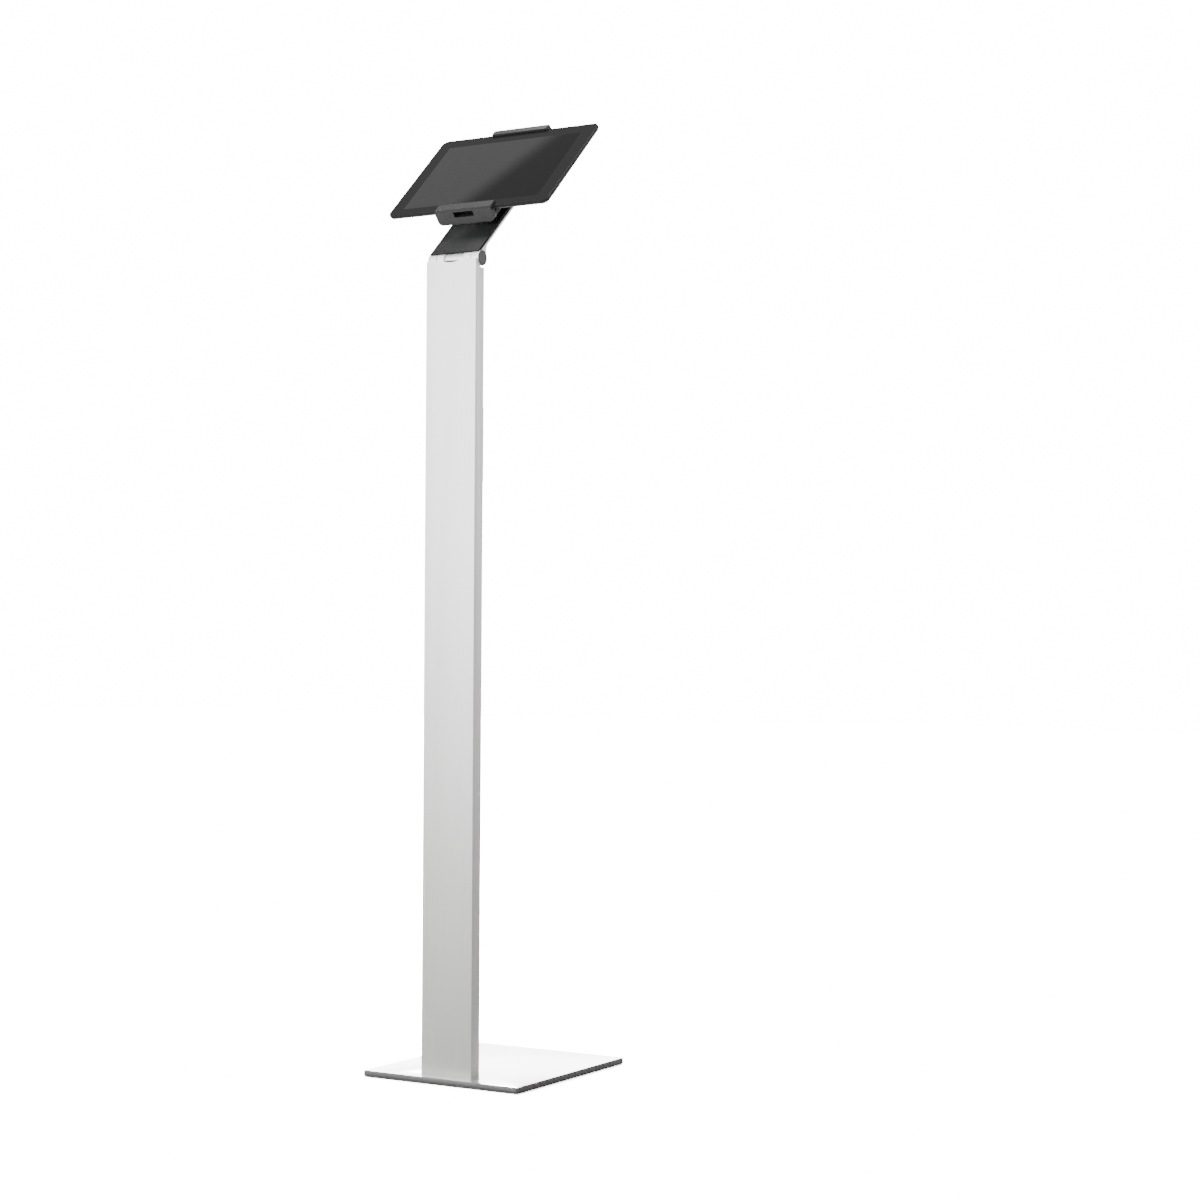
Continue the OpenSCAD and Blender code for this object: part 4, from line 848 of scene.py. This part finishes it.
def make_screws(node, outward):
    """A set of screws in place of a CAD node, each with a hexagonal recess in its head."""
    measured = [measured_screw(points, outward) for points in separate_solids(node)]
    mesh = bpy.data.meshes.new(node + "_places")
    mesh.from_pydata([tuple(place) for place, _ in measured], [], [])
    directions = mesh.attributes.new("head_direction", "FLOAT_VECTOR", "POINT")
    for item in directions.data:
        item.vector = outward.normalized()
    piece = bpy.data.objects.new(node + "_keyed", mesh)
    bpy.context.scene.collection.objects.link(piece)
    modifier = piece.modifiers.new("screws", "NODES")
    modifier.node_group = SCREWS
    identifiers = {item.name: item.identifier for item in SCREWS.interface.items_tree
                   if item.in_out == "INPUT"}
    sizes = dict(measured[0][1])
    sizes["Key Radius"] = sizes["Head Radius"] * KEY_RADIUS_SHARE
    sizes["Key Depth"] = sizes["Head Height"] * KEY_DEPTH_SHARE
    for name in SCREW_SIZES:
        modifier[identifiers[name]] = sizes[name]
    modifier[identifiers["Finish"]] = FINISHES[NODE_FINISH[node]]
    piece.data = plain_mesh(piece)
    bm = bmesh.new()
    bm.from_mesh(piece.data)
    soften(bm)
    bm.to_mesh(piece.data)
    bm.free()
    settle(piece, node)


SCREWS = screw_tree()
DOWN, REARWARD = Vector((0, 0, -1)), Vector((0, 1, 0))
SCREW_HEADS = {
    "base_screws": DOWN, "column_lock_screw": REARWARD, "cable_box_screw": REARWARD,
    "hub_screws": -SWIVEL_AXIS, "swivel_plate_screws": SWIVEL_AXIS, "clamp_screws": -SWIVEL_AXIS,
    "upper_jaw_screws": -SWIVEL_AXIS, "lower_jaw_screws": -SWIVEL_AXIS,
}
for screw_node, head_side in SCREW_HEADS.items():
    make_screws(screw_node, head_side)


CAP_RADIUS = 10 * MM
CAP_SEAT = 38 * MM
SPIGOT_RADIUS = 8.15 * MM
SPIGOT_WALL = 1.5 * MM
SPIGOT_LENGTH = 0.85 * MM
# inset from the cap's radius, and height above its seat or depth below its outer face, in mm
CAP_HEEL = ((0.15, 0), (0, 0.2))
CAP_RIM = ((0, 0.7), (0.25, 0.25), (0.8, 0), (1.9, 0), (2.3, 0.35))
CAP_DISH = 0.5 * MM


def make_hinge_caps():
    """Dished discs on both ends of the hinge, with a spigot in the knuckle."""
    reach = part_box("hinge_end_caps")[1].x
    bore, spigot_end = SPIGOT_RADIUS - SPIGOT_WALL, CAP_SEAT - SPIGOT_LENGTH
    profile = [(0, CAP_SEAT), (bore, CAP_SEAT), (bore, spigot_end), (SPIGOT_RADIUS, spigot_end),
               (SPIGOT_RADIUS, CAP_SEAT)]
    profile += [(CAP_RADIUS - inset * MM, CAP_SEAT + above * MM) for inset, above in CAP_HEEL]
    profile += [(CAP_RADIUS - inset * MM, reach - below * MM) for inset, below in CAP_RIM]
    profile.append((0, reach - CAP_DISH))
    for side, side_name in ((-1, "left"), (1, "right")):
        bm = lathe(profile, Matrix.Translation(HINGE) @ Matrix.Rotation(side * math.pi / 2, 4, "Y"))
        soften(bm)
        piece = mesh_object("hinge_cap_" + side_name, bm, "cap_plastic")
        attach(piece, "arm")
        if side > 0:
            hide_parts("hinge_end_caps")


make_hinge_caps()


# pieces with eased edges: the widths are in mm

EASED_EDGES = {
    "column": 0.5, "arm_plate": 0.35, "arm_front_cover": 0.5,
    "swivel_hub": 0.6, "swivel_cap": 0.2, "swivel_plate": 0.5, "clamp_back": 0.5,
    "clamp_front": 0.4, "upper_slide": 0.3, "lower_slide": 0.3, "upper_jaw": 1.6,
    "lower_jaw": 1.6, "lock_barrel": 0.2, "cable_box_cover": 0.8, "cable_box_carrier": 0.3,
    "hinge_ears": 0.2, "axle_tube": 0.1, "base_plate": 0.4,
}

# the plate's edge is where a face's normal is less upright than this
PLATE_EDGE_NORMAL = 0.97
BARREL_RADIUS = 10.4 * MM
UNDERSIDE_DROP = 1.0 * MM
LIP_FROM = head_box("lower_jaw")[1].z - EASED_EDGES["lower_jaw"] * MM
CHARGING_SLOT_MIDDLE = head_box("clamp_back")[0].z + 14.5 * MM
CHARGING_SLOT_HALF_W = 16.7 * MM
CHARGING_SLOT_HALF_H = 5.7 * MM
LOWER_JAW_SKIN = head_box("lower_jaw")[0].y + 0.05 * MM


# the lip's faces take a darker copy of the jaw's plastic as painted shade
def on_lip(face):
    return (TO_HEAD @ face.center).z > LIP_FROM


def in_charging_slot(face):
    across, along, outward = TO_HEAD @ face.center
    in_width = abs(across) < CHARGING_SLOT_HALF_W
    in_height = abs(outward - CHARGING_SLOT_MIDDLE) < CHARGING_SLOT_HALF_H
    return in_width and in_height and along > LOWER_JAW_SKIN


# the arm plate's band round the hinge keeps the column's lighter silver, a lit copy beside the painted shade on
# the rest of the plate
def on_barrel(face):
    _, along, outward = TO_HEAD @ face.center
    return math.hypot(along, outward) < BARREL_RADIUS


# the tube's underside takes dark steel as painted shade in the gap under the hinge
def shaded_under_barrel(face):
    return face.center.z < HINGE.z - UNDERSIDE_DROP


def on_plate_edge(face):
    return abs(face.normal.z) < PLATE_EDGE_NORMAL


REFINISHED = {
    "lower_jaw": (("lip_painted_shade", on_lip), ("black_plastic", in_charging_slot)),
    "arm_plate": (("silver_column", on_barrel),),
    "axle_tube": (("dark_steel", shaded_under_barrel),),
    "base_plate": (("plate_edge", on_plate_edge),),
}

for eased_node, width in EASED_EDGES.items():
    eased_piece = eased(eased_node, width * MM)
    for other_finish, chosen_faces in REFINISHED.get(eased_node, ()):
        refinish(eased_piece, other_finish, chosen_faces)


def write_sizes():
    bpy.context.view_layer.update()


write_sizes()
